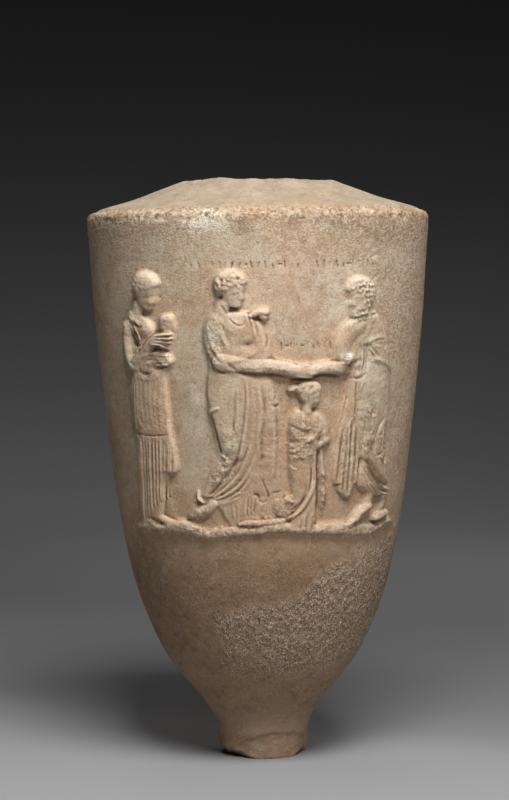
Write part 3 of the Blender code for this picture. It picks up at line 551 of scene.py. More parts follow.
    fold([(175, 97), (178, 89), (180, 80)], [2, 2.8, 2], 3.0, 0.8, onto=0)
    broken((170, 104), (15, 24), 0, 3.0, 6.5, 56)
    broken((148, 130), (20, 14), 10, 1.3, 6, 57)
    broken((176, 170), (8, 20), 0, 1.2, 8, 58)
    broken((164, 216), (13, 22), 0, 1.5, 6, 49)
    folds([(136, 190), (141, 172), (150, 158)], [(166, 192), (170, 180), (175, 166)], 2, [3.0, 4.0, 3.2], 0.7, 0.5, seed=17)
    # legs and feet
    limb([(150, 46), (147, 36), (142, 27)], [8, 7, 6], 3, 7)
    limb([(146, 28), (138, 24.5), (129, 18.5), (121, 11.5), (113, 6)], [6.2, 6, 5.4, 4.6, 3.6], 6.5, 8)
    fold([(149, 19), (140, 14.5), (131, 12)], [2.6, 4.2, 3], -4.5, ends=0.25, onto=0)
    limb([(178, 40), (174, 28), (168, 16)], [6, 6.5, 7], 3, 6.5)
    limb([(182, 17), (172, 14.5), (162, 13), (156, 11)], [5, 7.2, 6.8, 4], 5.5, 8)
    fold([(156, 34), (166, 31), (177, 36)], [3, 6, 4], -3.4, ends=0.3, onto=0)
    broken((132, 17), (20, 10), 30, 1.6, 6, 46)
    broken((170, 16), (14, 9), 0, 2.0, 6, 47)
    for i in range(3):
        limb([(122 - 3 * i, 12 - 2.4 * i), (114.5 - 1.5 * i, 7.5 - 1.8 * i)], [2.2, 1.7], 7.5, 4, blend=0.6)
    # neck and head
    limb([(141, 262), (138, 276)], [10.5, 10.5], 4, 8)
    head((131, 286.5), 41.5, -58, 4, 6, "locks", True, out=7, flatness=0.44, seed=5, wide=1.10)
    curls((131, 302), (16, 8), 44, 2.5, 3.6, 91)
    curls((141, 284), (6, 10), 15, 2.7, 4.0, 92)
    curls((127, 270), (10, 9), 22, 2.5, 4.2, 93)
    fold([(153, 290), (151, 281), (145, 273)], [2.4, 3.2, 2.4], -2.2, ends=0.3, onto=0)


def drapedFigure():
    # undergarment below the cloak
    garment([(90, -46, 28), (74, -54, 30), (60, -60, 31), (48, -64, 32), (38, -60, 32), (20, -48, 30), (3, -40, 28)],
            3, 2.5, square=3, top=24, hem=2, soft=(6, 8))
    # cloak: firm at the back, fading into the wall at the front
    garment([(274, -60, -12), (266, -65, 6), (255, -68.5, 14), (243, -69, 18), (230, -66.5, 20), (216, -63, 21), (204, -62, 22),
             (190, -65, 25), (172, -66, 28), (158, -63, 29), (145, -60, 30), (130, -56, 30.5), (115, -52.5, 31),
             (100, -48.5, 31.5), (88, -42, 31.5), (72, -30, 32), (58, -20, 32), (46, -12, 31)],
            [4, 5.5, 5.5, 4, 3], [6, 8.5, 8, 5.5, 3], square=2.6, top=6, hem=9, soft=(1.3, 16))
    # lower leg behind in battered cloth, and the hem trailing from it
    garment([(106, -50, -26), (92, -54, -26), (78, -62, -32), (66, -67, -42), (54, -72, -52), (44, -75, -60)],
            3, 4, square=2.4, top=8, hem=3, edgeWave=0.8, soft=(3.5, 3))
    limb([(-38, 98), (-46, 80), (-57, 62)], [9.5, 9, 7], 2.5, 5)
    broken((-47, 76), (13, 22), -32, 3.4, 6.5, 64)
    limb([(-42, 200), (-46, 172), (-44, 142), (-37, 108)], [19, 20, 17.5, 13], 3, 10.5)
    limb([(-10, 190), (-8, 150), (-6, 110), (-4, 72)], [17, 17, 15, 12], 1.5, 7)
    # back, shoulder and sleeve
    limb([(-51, 262), (-56, 248), (-54, 230), (-44, 214)], [12.5, 12.5, 13, 12], 5, 9)
    mound((-28, 252), (19, 20), 0, 5, 9)
    mound((-8, 248), (15, 17), 0, 4, 7)
    broken((-54, 238), (13, 30), 0, 2.3, 6, 65)
    swell((-13, 233.5), (9, 4.5), 8, -4.6)
    # forearm reaching across
    limb([(-46, 212), (-30, 210), (-10, 207), (10, 206.5), (28, 205), (44, 201.5)], [12.5, 11.6, 10.6, 9.6, 8.8, 7.4], 10, 9.5)
    fold([(-40, 212), (-26, 216), (-12, 220), (-2, 226)], [2.6, 3.8, 3.4, 2.4], 1.7, -0.3, ends=0.25)
    fold([(-30, 201.5), (-16, 197.5), (0, 193.5), (16, 193.5), (30, 190), (40, 187)], [2, 3.4, 4.4, 4.4, 4, 2], -3.2, ends=0.15, onto=0)
    shadedGroove([(-26, 200), (-12, 198.5), (2, 197), (16, 196), (28, 193.5), (37, 190.5)], [1.4, 1.8, 2.0, 2.0, 1.6], 1.8, 0.75)
    # raised hand holding the cloak at the throat
    limb([(-9, 268), (-1, 273), (9, 272.5)], [4.4, 5.4, 4.6], 7, 6.5)
    mound((5, 267), (7, 5), -20, 6, 5)
    fold([(-8, 278), (1, 279), (12, 276)], [1.5, 2.0, 1.6], 1.6, -1.0, onto=0)
    fold([(-11, 266), (-4, 264.5), (2, 261.5), (6.5, 254), (9, 248)], [2, 2.6, 2.8, 2], -4.2, ends=0.18)
    fold([(-13, 272), (-9, 263), (-6, 252), (-5, 243)], [1.8, 2.2, 2], 1.9, 0.8)
    fold([(-17, 274), (-14, 264), (-12, 254)], [1.6, 2, 1.6], 1.1, 0.8)
    fold([(4, 247), (6, 238), (5, 228)], [1.8, 2.4, 2], 1.3, 0.7)
    fold([(11, 262), (13, 246), (12, 228)], [1.8, 2.4, 2], 1.2, -0.8)
    fold([(19, 262), (20, 246), (19, 222)], [2.0, 3.0, 2.4], -2.4, ends=0.3, onto=0)
    # neckline
    fold([(-35, 265), (-31, 260.5), (-24, 256.5), (-19, 258), (-17, 263)], 1.2, -1.5, ends=0.15)
    fold([(-35, 267), (-30, 262.5), (-24, 259)], 1.4, 0.9)
    # outline of the sleeve, and its folds
    fold([(-66.5, 238), (-65, 226), (-61, 214), (-55, 206), (-47, 200), (-40, 197.5)], [1.0, 1.5, 1.7, 1.5, 1.1], -2.8, ends=0.2, onto=0)
    fold([(-62, 262), (-60, 246), (-52, 226), (-42, 214)], [2, 3, 2.6], 1.2, -0.8)
    fold([(-50, 262), (-45, 246), (-37, 228)], [2, 3, 2.6], 1.2, 0.8)
    fold([(-39, 215), (-34, 208), (-27, 203)], [1.8, 2.6, 2], -1.8)
    fold([(-64, 199), (-60, 203), (-56, 203.5)], [1.0, 1.4, 1.0], -1.2, onto=0)
    # groove along hip and thigh, bridged by a chip
    fold([(-65.5, 194), (-66.5, 178), (-65, 165), (-61.5, 153)], [1.2, 1.8, 2.0, 1.8], -3.2, ends=0.25, onto=0)
    fold([(-61, 148), (-58, 138), (-54.5, 126), (-50.5, 110), (-47.5, 97)], [2.0, 2.2, 2.0, 1.7, 1.2], -4.2, ends=0.12, onto=0)
    fold([(-62.5, 150), (-57, 152.5), (-49, 157.5)], [1.3, 2.0, 1.6], 3.0, ends=0.15, onto=0)
    fold([(-57, 128), (-54, 114), (-51, 104), (-44, 95), (-40, 93)], [1.4, 1.9, 2.2, 1.8], 2.4, ends=0.15, onto=0)
    # folds from the hip falling to the back foot
    fold([(-16, 190), (-14.5, 168), (-16, 148), (-18.5, 128), (-22, 108), (-24, 98), (-29, 84), (-38, 70), (-49, 58), (-62, 46.5)],
         [1.7, 2.1, 2.3, 2.3, 2.2, 2.3, 2.4, 2.3, 2.0, 1.5], [1.2, 1.5, 1.7, 1.8, 1.9, 2.3, 3.0, 3.4, 3.0, 2.2], -0.6, ends=0.06, count=60)
    fold([(-25, 92), (-32, 82), (-40, 70), (-49, 60), (-58, 51), (-66, 46)], [3.4, 4.2, 4.6, 4.4, 3, 1.8], -5.6, ends=0.2, onto=0, count=40)
    swell((-27, 91), (6, 3.6), 15, -3.0)
    fold([(-12, 112), (-17, 94), (-28, 71), (-43, 55.5), (-57, 45)], [1.4, 1.9, 2.1, 1.9, 1.4], [1.0, 1.7, 2.4, 2.3, 2.0], -0.8, ends=0.16,
         count=44)
    fold([(-5, 104), (-12, 82), (-25, 61), (-41, 48.5), (-56, 41.5)], [1.4, 1.9, 2.1, 1.9, 1.4], [0.8, 1.3, 2.1, 2.1, 1.8], -0.8, ends=0.18,
         count=44)
    fold([(-13, 68), (-22, 55), (-33, 46), (-45, 40.5), (-60, 37)], [1.4, 1.9, 1.8, 1.3], 1.7, -0.9, ends=0.2, count=40)
    fold([(-24, 46), (-34, 41), (-48, 36.5), (-60, 33)], [1.4, 1.8, 1.5], 1.3, -0.9, ends=0.16)
    fold([(-27, 180), (-27, 150), (-30, 122), (-33, 106)], [2, 2.8, 2.6, 2], 1.2, -0.8)
    broken((-36, 120), (12, 26), 10, 1.2, 6, 66)
    fold([(-9, 186), (-8, 150), (-11, 110), (-16, 84)], [2.4, 3.2, 3, 2.4], 0.9, -0.4)
    # broad folds falling straight in front
    fold([(-2, 184), (1, 150), (-3, 118), (-2, 92)], [2.4, 3.4, 3.0, 2], 1.6, 0.8, ends=0.15)
    fold([(7, 182), (10, 146), (7, 110), (3, 78)], [2.6, 3.6, 3.6, 2.6], 1.1, -0.4, ends=0.2)
    fold([(15, 172), (16, 140), (17, 104), (13, 64)], [2.0, 3.0, 3.4, 2.6], 1.4, 0.7, ends=0.2)
    fold([(24, 160), (25, 122), (23, 86), (20, 58)], [2.2, 3.0, 3.0, 2.4], 1.0, -0.4, ends=0.2)
    fold([(28, 150), (28, 120), (29, 92)], [1.6, 2.0, 1.6], 1.0, 0.6, ends=0.2)
    broken((12, 120), (20, 60), 0, 1.0, 10, 45)
    fold([(2.5, 98), (1.5, 92), (1, 88)], 1.4, -2.0, ends=0.3)
    fold([(1, 69), (4.5, 60), (8.5, 50), (8, 42), (3, 38.5), (-2, 41), (-4, 46)], [1.1, 1.4, 1.3], -1.9, ends=0.1)
    fold([(4, 66), (7.5, 57), (11.5, 49), (10, 40)], [1.2, 1.6, 1.3], 1.0, ends=0.2)
    fold([(15, 184), (16, 174), (16.5, 165)], [1.2, 1.6], 1.6, 0.6)
    mound((18.5, 162.5), (4.4, 3.6), 0, 4, 3, 2.0)
    fold([(14, 159.5), (19, 157.5), (24, 160)], 1.4, -2.2, ends=0.2)
    fold([(-30, 52), (-22, 53)], 1.3, -1.6)
    fold([(-9, 48.5), (-4, 47.5), (-1, 44)], [1.6, 2.2, 1.4], -2.8, ends=0.2)
    fold([(14, 50), (20, 51), (25, 53)], 1.2, -2.0, ends=0.2)
    folds([(-17, 46), (-19.5, 22)], [(-9, 45), (-12, 24)], 3, [1.3, 1.7], 1.4, 0.8, ends=0.15, seed=8, wander=0.3)
    folds([(-44, 34), (-42, 16)], [(-28, 38), (-28, 14)], 4, 1.8, 0.8, 0.7, seed=62)
    folds([(0, 36), (0, 22)], [(18, 38), (18, 24)], 2, 3.0, 0.7, 0.6, seed=63)
    # feet, and the battered one behind
    limb([(-26, 11), (-16, 13), (-4, 12.5), (12, 13.5), (27, 15)], [3.0, 4.8, 4.6, 4.8, 4.4], 5, 6)
    broken((2, 14), (30, 7), 0, 2.2, 6, 60)
    fold([(-27, 10.5), (-21, 7.5), (-13, 6), (-8, 7.5)], 1.5, -2.8, ends=0.2, onto=0)
    limb([(-90, 20), (-79, 25), (-66, 29), (-58, 36)], [4.5, 8, 7, 6], 2.5, 5.5)
    broken((-77, 24), (16, 12), 0, 3.6, 6, 67, -0.4)
    fold([(-90, 19), (-80, 12), (-70, 17), (-62, 24)], [2.6, 3.4, 3, 2], -2.6, ends=0.2, onto=0)
    limb([(-79, 51), (-78.5, 44), (-72, 38)], [1.8, 2.6, 2.0], 4, 5.5)
    fold([(-82, 42), (-78, 37.5), (-72, 35)], 1.6, -2.0, ends=0.3, onto=0)
    # cloth gathered low between the two figures
    mound((29, 29), (18, 12.5), -48, 3, 6.0, 3)
    mound((37, 42), (11, 6), 15, 4, 5.5, 3)
    fold([(21, 40), (30, 33), (37, 22)], [2, 3, 2], -1.4)
    fold([(30, 45), (38, 38), (43, 28)], [2, 3, 2], 1.3, 0.7)
    broken((30, 30), (15, 17), 0, 2.4, 7, 69)
    fold([(15, 186), (22, 177), (30, 172)], [2, 3, 2], 1.0, onto=0)
    # neck and head
    limb([(-48, 268), (-42, 284)], [10, 9], 4, 8.5)
    fold([(-63, 270), (-58, 276), (-54, 282)], [1.2, 1.6, 1.2], -2.2, ends=0.2, onto=0)
    fold([(-47, 283), (-42, 276), (-38, 270)], [1.6, 2.0, 1.6], -1.6)
    head((-32.5, 297.5), 39.5, 46, 20, 0, "locks", out=7, flatness=0.43, seed=3, wide=1.14)
    curls((-33, 311), (17, 8), 32, 2.9, 2.6, 94)
    curls((-47, 299), (5, 9), 10, 2.8, 2.6, 95)
    swell((-47.5, 291), (4.5, 6), 0, -5.0)


def staff():
    limb([(75.5, 104), (76, 90), (77, 71)], [3.2, 3.8, 3.8], 4, 4)
    mound((77.5, 73), (4, 5.5), 0, 5, 4.5)
    limb([(77.5, 70), (78, 50), (77, 30), (76, 22)], [4.0, 4.6, 4.0, 3.0], 2.2, 2.6)
    broken((77.5, 47), (6.5, 27), 0, 4.2, 5.5, 68)
    swell((75.5, 24), (4.6, 4.8), 0, -2.4)


def girl():
    garment([(152, 42, 72), (144, 37, 79), (134, 34.5, 85), (122, 34, 88), (112, 34, 86), (103, 34, 73), (88, 34, 70),
             (72, 34, 69.5), (58, 37, 69.5), (40, 38, 69), (20, 36, 68), (1, 33, 67)], [5, 7, 6, 5.5, 5], [5.5, 7.5, 7, 6.5, 6],
            top=6, hem=1.8, edgeWave=0.5)
    limb([(46, 147), (41, 136), (41, 124), (48, 116)], [6.6, 6.2, 6.0, 5.5], 8, 5.0, 2.4)
    limb([(70, 148), (77, 138), (83, 127), (80, 118)], [3.8, 4.0, 4.2, 4.2], 6, 4.4, 2.4)
    mound((58, 138), (15, 14), 0, 8, 6.0, 2.4)
    swell((57, 125), (6, 6), 0, -1.5)
    fold([(49, 120), (57, 114), (64, 118), (70, 123.5), (76, 130)], [1.6, 2.2, 2.0, 1.6], 1.5, -0.7)
    fold([(44, 134), (53, 128), (62, 132)], [1.5, 2, 1.5], 0.9, -0.8)
    fold([(72, 147), (78, 138.5), (84, 130), (88, 121), (85, 110)], [1.4, 1.7, 1.5], 0.9, 0.6, onto=0)
    for place, size, depth in (((73, 115.5), (3.4, 4), -6), ((85, 121.5), (3.0, 3.4), -4.5), ((37.5, 113), (3, 2.6), -4),
                               ((38.5, 133), (3, 3.6), -3.4), ((66, 108), (4, 3), -1.6)):
        swell(place, size, 0, depth)
    for z in (105, 98):
        fold([(31, z), (36, z + 0.4), (43, z - 0.6)], 1.1, -2.6, ends=0.25, onto=0)
    fold([(41, 104), (44, 97), (48, 91)], 1.3, -2.2, ends=0.3)
    fold([(54, 105.5), (58, 106), (62, 103)], 1.3, -1.8, ends=0.3)
    broken((53, 106), (20, 20), 0, 3.4, 5.5, 73)
    broken((48, 130), (13, 17), 0, 2.8, 5, 75)
    broken((64, 128), (13, 12), 0, 2.0, 5, 76)
    broken((80, 116), (12, 13), 0, 3.2, 5.5, 74)
    fold([(33.5, 80), (36, 71), (39.5, 61)], [1.2, 1.7, 1.2], -2.2, ends=0.2, onto=0)
    fold([(33, 88), (37, 82), (42, 79)], 1.4, 1.2, 0.7)
    # train that swings round behind the feet
    fold([(66, 82), (65, 62), (60, 46), (52, 33), (42, 23), (32, 17.5)], [1.7, 2.2, 2.2, 2.0, 1.7], 2.6, -0.9, ends=0.12, count=44)
    fold([(60, 66), (58, 50), (52, 38.5), (44, 30), (35, 24)], [1.5, 1.9, 1.9, 1.6], 1.6, -0.9, ends=0.15, count=44)
    fold([(56, 46), (50, 37), (43, 30), (36, 24)], [2.0, 3.0, 3.4, 3.0], -2.6, ends=0.25, onto=0)
    fold([(64, 50), (58, 36), (49, 25), (40, 18)], [1.4, 1.8, 1.6], -1.8, ends=0.2)
    folds([(46, 18), (45, 2)], [(62, 24), (60, 2)], 3, [1.8, 2.2], 1.3, 0.8, ends=0.15, seed=13)
    fold([(68, 98), (68.5, 60), (67, 25), (66, 5)], [2.4, 2.8, 2.8, 2.4], 1.4, 0.8)
    fold([(62, 92), (63, 76), (63, 62)], [2, 2.4, 2], -1.6)
    swell((50, 72), (9, 13), 0, 1.2)
    # hair tied behind
    limb([(50, 177.5), (43, 179), (36, 177.5)], [5.4, 5.0, 3.8], 7, 6)
    fold([(33, 172), (40, 171.5), (46, 167), (51, 161.5)], [2.2, 3.0, 2.6, 1.8], -3.6, ends=0.25, onto=0)
    # neck and head
    limb([(58, 150), (59, 162)], [7, 6.5], 7, 7.5)
    head((61.5, 169.5), 31, 50, 20, -4, "tied", out=9, flatness=0.46, seed=4, wide=1.14)
    swell((68, 154.5), (6, 5), -15, -7)
    curls((58, 181), (14, 7), 18, 3.2, 2.6, 96)
    curls((42, 178), (8, 4), 7, 3.0, 3.0, 97)


def claspedHands():
    limb([(38, 201.5), (50, 199.5), (62, 198.5)], [7.4, 7.8, 6.8], 12, 7.5)
    for i in range(4):
        limb([(44, 205.5 - 3.8 * i), (54, 204.8 - 4.0 * i), (64, 203.0 - 3.7 * i)], [2.8, 2.6, 2.1], 13.5, 4.5, blend=1.4)
    limb([(44, 205), (54, 207.5), (62, 206.5)], [3.0, 2.8, 2.2], 12, 4.5, blend=1.6)
    broken((4, 201), (44, 6), 0, 1.8, 6, 81)
    broken((78, 199), (26, 6), 0, 1.4, 6, 82)
    shadedGroove([(36, 188), (46, 190), (60, 189.5), (70, 192.5), (80, 194.5), (92, 192.5), (104, 191)], [1.6, 2.0, 2.0, 2.4, 2.6, 2.4, 1.8], 2.6,
            0.95, ends=0.1)


def strokes(left, right, z, tall, seed, depth=0.9):
    # shallow marks in the place of writing: bars, dashes and slants that spell nothing
    rng = np.random.default_rng(seed)
    a = left
    while a < right:
        wide = tall * rng.uniform(0.3, 0.6)
        lean = rng.choice([(0.3, 0.0, 0.2, 1.0), (0.0, 0.5, 1.0, 0.55), (0.1, 0.1, 0.5, 0.8), (0.3, 0.4, 0.3, 1.0),
                           (0.5, 0.0, 0.35, 0.55), (0.6, 0.1, 0.2, 0.9)])
        ends = [(a + wide * lean[0], z + tall * lean[1]), (a + wide * lean[2], z + tall * lean[3])]
        firm = rng.uniform(0.4, 1.15)
        fold(ends, 0.9, -depth * firm, ends=0.08, onto=0, count=6)
        w, share, distance = besidePath(smoothPath(ends, 6), 4)
        # painted shade in each stroke, so that strokes of every slant show dark
        grooveShade[w] = np.maximum(grooveShade[w], np.exp(-(distance / 0.95) ** 2) * min(0.3 * depth * firm, 1))
        a += wide + tall * rng.uniform(0.18, 0.55)


def carveAll():
    groundLedge()
    nurseWithChild()
    beardedMan()
    drapedFigure()
    staff()
    girl()
    claspedHands()
    strokes(-86, 162, 325, 10, 1, 2.7)
    strokes(-196, -128, 333, 6, 3, 1.4)
    strokes(26, 96, 226, 9, 2, 2.6)


def blurred(chart, size):
    # Gaussian blur by size (mm) through the Fourier transform
    fz = np.fft.fftfreq(chart.shape[0], relief["pitch"])[:, None]
    fa = np.fft.rfftfreq(chart.shape[1], relief["pitch"])[None]
    return np.fft.irfft2(np.fft.rfft2(chart) * np.exp(-2 * (np.pi * size) ** 2 * (fz ** 2 + fa ** 2)), s=chart.shape)


def worn(chart):
    # centuries of wear: edges rounded more in some places than others, then grain, small losses and pits
    chart = np.maximum(chart, -3.5)
    cover = blurred(smoothStep(0.4, 1.6, chart), 2.2)
    fall, run = np.gradient(cover)
    down = smoothStep(0.15, 0.65, fall / np.maximum(np.hypot(fall, run), 1e-6))      # 1 on edges that face down
    left = smoothStep(0.3, 0.8, run / np.maximum(np.hypot(fall, run), 1e-6))         # 1 on edges that face left
    rim = np.exp(-((cover - 0.45) / (0.26 + 0.08 * left)) ** 2) * (1 - 0.85 * down)
    soft = blurred(chart, 2.5) * (1 - left) + blurred(chart, 3.6) * left
    chart = chart * (1 - 0.9 * rim) + soft * 0.9 * rim
    slow = smoothStep(-0.3, 0.5, layered(onWall, 0.034, 101, 3))
    chart = blurred(chart, 0.42) * (1 - slow) + blurred(chart, 0.85) * slow
    steep = np.hypot(*np.gradient(blurred(chart, 0.8), relief["pitch"]))
    crumbs = smoothStep(0.10, 0.75, layered(onWall, 0.0042, 113, 2)) * smoothStep(0.30, 0.75, value(onWall, 0.017, 115))
    chart = chart - 1.3 * crumbs * smoothStep(0.25, 0.9, steep)
    raised = smoothStep(0.4, 2.5, chart)
    chart = chart + raised * (0.46 * layered(onWall, 0.0056, 103, 3) + 0.32 * layered(onWall, 0.0026, 121, 2) + 0.50 * layered(onWall, 0.014, 105, 2) * slow)
    pits = smoothStep(0.80, 0.96, value(onWall, 0.0036, 107)) * smoothStep(0.35, 0.7, value(onWall, 0.028, 109))
    sharp = layered(onWall, 0.0030, 117, 2)
    chart = chart + battered * (0.85 * sharp - 0.9 * smoothStep(0.25, 0.7, layered(onWall, 0.0052, 119, 2)))
    return chart - pits * (0.25 + 0.6 * raised)
# ---- the stone: section, places, weathering ----
vessel = {"radius": 0.5 * (nodeHigh[0] - nodeLow[0]), "height": nodeHigh[2] - nodeLow[2],
          "rimShare": 0.9377, "topShare": 0.9958, "neckShare": 0.4434, "footShare": 0.2557,
          "rimRounding": 0.0095,       # worn edge between wall and shoulder (m)
          "groundLine": 0.308,         # height of the line on which the figures stand (m)
          "depth": 0.70,               # share of the laid-out carving heights that is kept
          # shares of rim height and of radius, foot to rim
          "wall": [(0.000, 0.256), (0.043, 0.267), (0.080, 0.305), (0.125, 0.412), (0.181, 0.552), (0.248, 0.658),
                   (0.336, 0.753), (0.470, 0.838), (0.641, 0.907), (0.803, 0.959), (0.912, 0.983), (0.985, 1.000)],
          # metres above the rim and shares of radius, neck to rim
          "shoulder": [(0.0435, 0.4434), (0.0315, 0.588), (0.0205, 0.724), (0.0095, 0.900), (0.0042, 0.955)],
          "frontStep": 0.00082, "backStep": 0.0036, "wallStep": 0.0018, "shoulderStep": 0.0024,
          "triangles": 197000, "keepFigures": 0.00003}


def sectionPoints():
    # radius and height down the half section: top of the break, shoulder, rim, wall, underside
    radius, height = vessel["radius"], vessel["height"]
    rimZ, topZ = height * vessel["rimShare"], height * vessel["topShare"]
    neck = radius * vessel["neckShare"]
    section = [(r, topZ) for r in np.linspace(0, neck, 26)[:-1]]
    slope = smoothPath(vessel["shoulder"], 60)
    section += [(radius * share, rimZ + rise) for rise, share in slope]
    rounding = vessel["rimRounding"]
    for angle in np.linspace(0.12, 0.5, 9) * math.pi:
        section.append((radius - rounding * (1 - math.sin(angle)), rimZ - rounding * (0.6 - math.cos(angle))))
    wall = smoothPath([(h * rimZ, share * radius) for h, share in vessel["wall"]], 400)
    z = section[-1][1]
    low = vessel["groundLine"] + relief["low"] / 1000
    high = rimZ
    while z > vessel["wallStep"]:
        z -= vessel["frontStep"] if low < z < high else vessel["wallStep"]
        section.append((float(np.interp(z, wall[:, 0], wall[:, 1])), z))
    foot = radius * vessel["footShare"]
    section += [(r, 0.0) for r in np.linspace(foot, 0, 12)]
    return np.array(section)


def turnAngles():
    # turn from the front, fine where the figures are and coarse at the back
    edge = relief["right"] / 1000 / (0.93 * vessel["radius"])
    front = np.linspace(-edge, edge, int(2 * edge * vessel["radius"] / vessel["frontStep"]))
    rest = 2 * math.pi - 2 * edge
    back = np.linspace(edge, edge + rest, int(rest * vessel["radius"] / vessel["backStep"]) + 1)[1:-1]
    return np.concatenate([front, back])


def readMap(chart, a, z):
    # height of a chart between its points, a and z in mm; zero outside it
    col, row = (a - relief["left"]) / relief["pitch"], (z - relief["low"]) / relief["pitch"]
    inside = (col > 0) & (row > 0) & (col < chart.shape[1] - 1.001) & (row < chart.shape[0] - 1.001)
    col, row = np.where(inside, col, 0), np.where(inside, row, 0)
    j, i = col.astype(int), row.astype(int)
    u, v = row - i, col - j
    h = (chart[i, j] * (1 - u) * (1 - v) + chart[i + 1, j] * u * (1 - v)
         + chart[i, j + 1] * (1 - u) * v + chart[i + 1, j + 1] * u * v)
    return np.where(inside, h, 0)


wear = {"undulation": 0.00045, "tooling": 0.00009, "pits": 0.0007, "crust": 0.0013, "flecks": 0.0038,
        "rimChips": 0.0028, "fracture": 0.0022,
        # lost corners of the foot: a point on the break and the direction of the lost stone
        "footBreaks": [((-0.012, -0.0555, 0.001), (-0.56, -0.42, -1.0)), ((-0.0565, 0.0, 0.0135), (-1.0, -0.1, -1.0)),
                       ((0.048, -0.012, 0.0), (1.0, -0.3, -0.9))],
        # front flake of the foot: middle and half size (m), depth
        "flake": ((0.012, 0.000), (0.062, 0.034), 0.0034),
        # humps of the neck's break: x, y, rise, size (m)
        "neckHumps": [(-0.045, -0.080, 0.0030, 0.018), (-0.080, 0.030, 0.0025, 0.025), (0.030, 0.060, 0.0025, 0.030),
                      (0.060, -0.045, -0.0022, 0.030), (-0.010, 0.000, -0.0055, 0.048)]}


def crustMask(points, angle):
    # 0 to 1: crusty stone low on the right, under a slanting line from the middle up to the ledge
    z = points[..., 2]
    line = np.interp(angle, [-0.50, -0.38, 0.05, 0.30, 0.60, 1.0, 1.35], [0.175, 0.202, 0.215, 0.232, 0.266, 0.290, 0.296])
    ragged = 0.012 * layered(points, 0.040, 71)
    side = smoothStep(-0.46, -0.30, angle + ragged * 6) * smoothStep(1.75, 1.15, angle)
    low = smoothStep(0.095, 0.150, z + ragged)
    patchy = smoothStep(-0.75, 0.05, layered(points, 0.050, 73))
    return smoothStep(-0.010, 0.012, line - z + 1.1 * ragged) * side * low * (0.35 + 0.65 * patchy)


def weather(points, normals, angle, wallPart):
    # push along the normals: long undulation, tool marks, pits, crust, chips on the rim
    z, radius = points[..., 2], np.hypot(points[..., 0], points[..., 1])
    rimZ = vessel["height"] * vessel["rimShare"]
    push = wear["undulation"] * layered(points, 0.085, 3, 2) + wear["tooling"] * layered(points, 0.007, 5, 2)
    spots = value(points, 0.0055, 9)
    push -= wear["pits"] * smoothStep(0.80, 0.97, spots) * smoothStep(0.40, 0.65, value(points, 0.05, 13))
    crust = crustMask(points, angle)
    flecks = layered(points, wear["flecks"], 17, 2)
    push += crust * wear["crust"] * (smoothStep(-0.15, 0.45, flecks) - 0.25)
    rimNear = smoothStep(rimZ - 0.016, rimZ - 0.003, z) * smoothStep(0.88, 0.95, radius / vessel["radius"])
    crumbs = layered(points, 0.0062, 23, 2)
    bites = smoothStep(0.05, 0.60, layered(points, 0.019, 21, 3))
    push -= rimNear * wear["rimChips"] * (bites + 0.45 * smoothStep(-0.25, 0.45, crumbs))
    return push * (1 - 0.75 * wallPart), crust


def breakFoot(points):
    # points past a break are laid on it, with a rough fracture; the underside stays flat at zero
    for point, lost in wear["footBreaks"]:
        lost = np.array(lost) / np.linalg.norm(lost)
        past = (points - np.array(point)) @ lost
        past = past + 0.0022 * layered(points, 0.011, 31, 3) * (points[..., 2] < 0.05)
        points = points - np.maximum(past, 0)[..., None] * lost
    (x0, z0), (halfX, halfZ), depth = wear["flake"]
    q = ((points[..., 0] - x0) / halfX) ** 2 + ((points[..., 2] - z0) / halfZ) ** 2
    q = q + 0.30 * layered(points, 0.016, 37, 2) - 4 * points[..., 0]
    dig = depth * smoothStep(1.05, 0.75, q) * (points[..., 1] < 0) * (1 + 0.35 * layered(points * (0.4, 1, 1.6), 0.008, 39, 2))
    radius = np.maximum(np.hypot(points[..., 0], points[..., 1]), 1e-6)
    shrink = 1 - dig * smoothStep(0.03, 0.05, radius) / radius
    points[..., 0] *= shrink
    points[..., 1] *= shrink
    return points


def stoneGrid():
    section, turn = sectionPoints(), turnAngles()
    slope = np.gradient(section, axis=0)
    normal = np.stack([-slope[:, 1], slope[:, 0]], axis=1)
    normal /= np.maximum(np.linalg.norm(normal, axis=1, keepdims=True), 1e-9)
    sin, cos = np.sin(turn)[None, :], np.cos(turn)[None, :]
    r, z = section[:, 0][:, None], section[:, 1][:, None]
    points = np.stack([r * sin, -r * cos, z + 0 * sin], axis=-1)
    normals = np.stack([normal[:, 0][:, None] * sin, -normal[:, 0][:, None] * cos, normal[:, 1][:, None] + 0 * sin], axis=-1)
    rimZ = vessel["height"] * vessel["rimShare"]
    angle = np.where(turn > math.pi, turn - 2 * math.pi, turn)[None, :] + 0 * z
    onWall = (z < rimZ) & (z > 0.001) & (r > 0.05)
    above = (z - vessel["groundLine"]) * 1000
    figures = np.where(onWall, readMap(finished, angle * r * 1000, above + 0 * angle), 0)
    push, crust = weather(points, normals, angle, smoothStep(0.5, 2.5, figures))
    onTop = (r < vessel["radius"] * vessel["neckShare"] * 0.999) & (z > rimZ)
    under = (z < 0.0005) & (r < 0.06)
    push = np.where(under, 0, push + figures / 1000)
    points = points + normals * push[..., None]
    ring = smoothStep(1.12, 0.98, np.hypot(points[..., 0], points[..., 1]) / (vessel["radius"] * vessel["neckShare"]))
    ring = ring * (points[..., 2] > rimZ)
    rise = wear["fracture"] * layered(points * (1, 1, 0), 0.020, 41, 4)
    for x, y, lift, size in wear["neckHumps"]:
        rise = rise + lift * np.exp(-((points[..., 0] - x) ** 2 + (points[..., 1] - y) ** 2) / size ** 2)
    points[..., 2] += ring * rise
    points = breakFoot(points)
    points[..., 2] = np.maximum(points[..., 2], 0)
    points[..., 2] = np.where(under & (points[..., 2] < 0.0008), 0, points[..., 2])
    return points


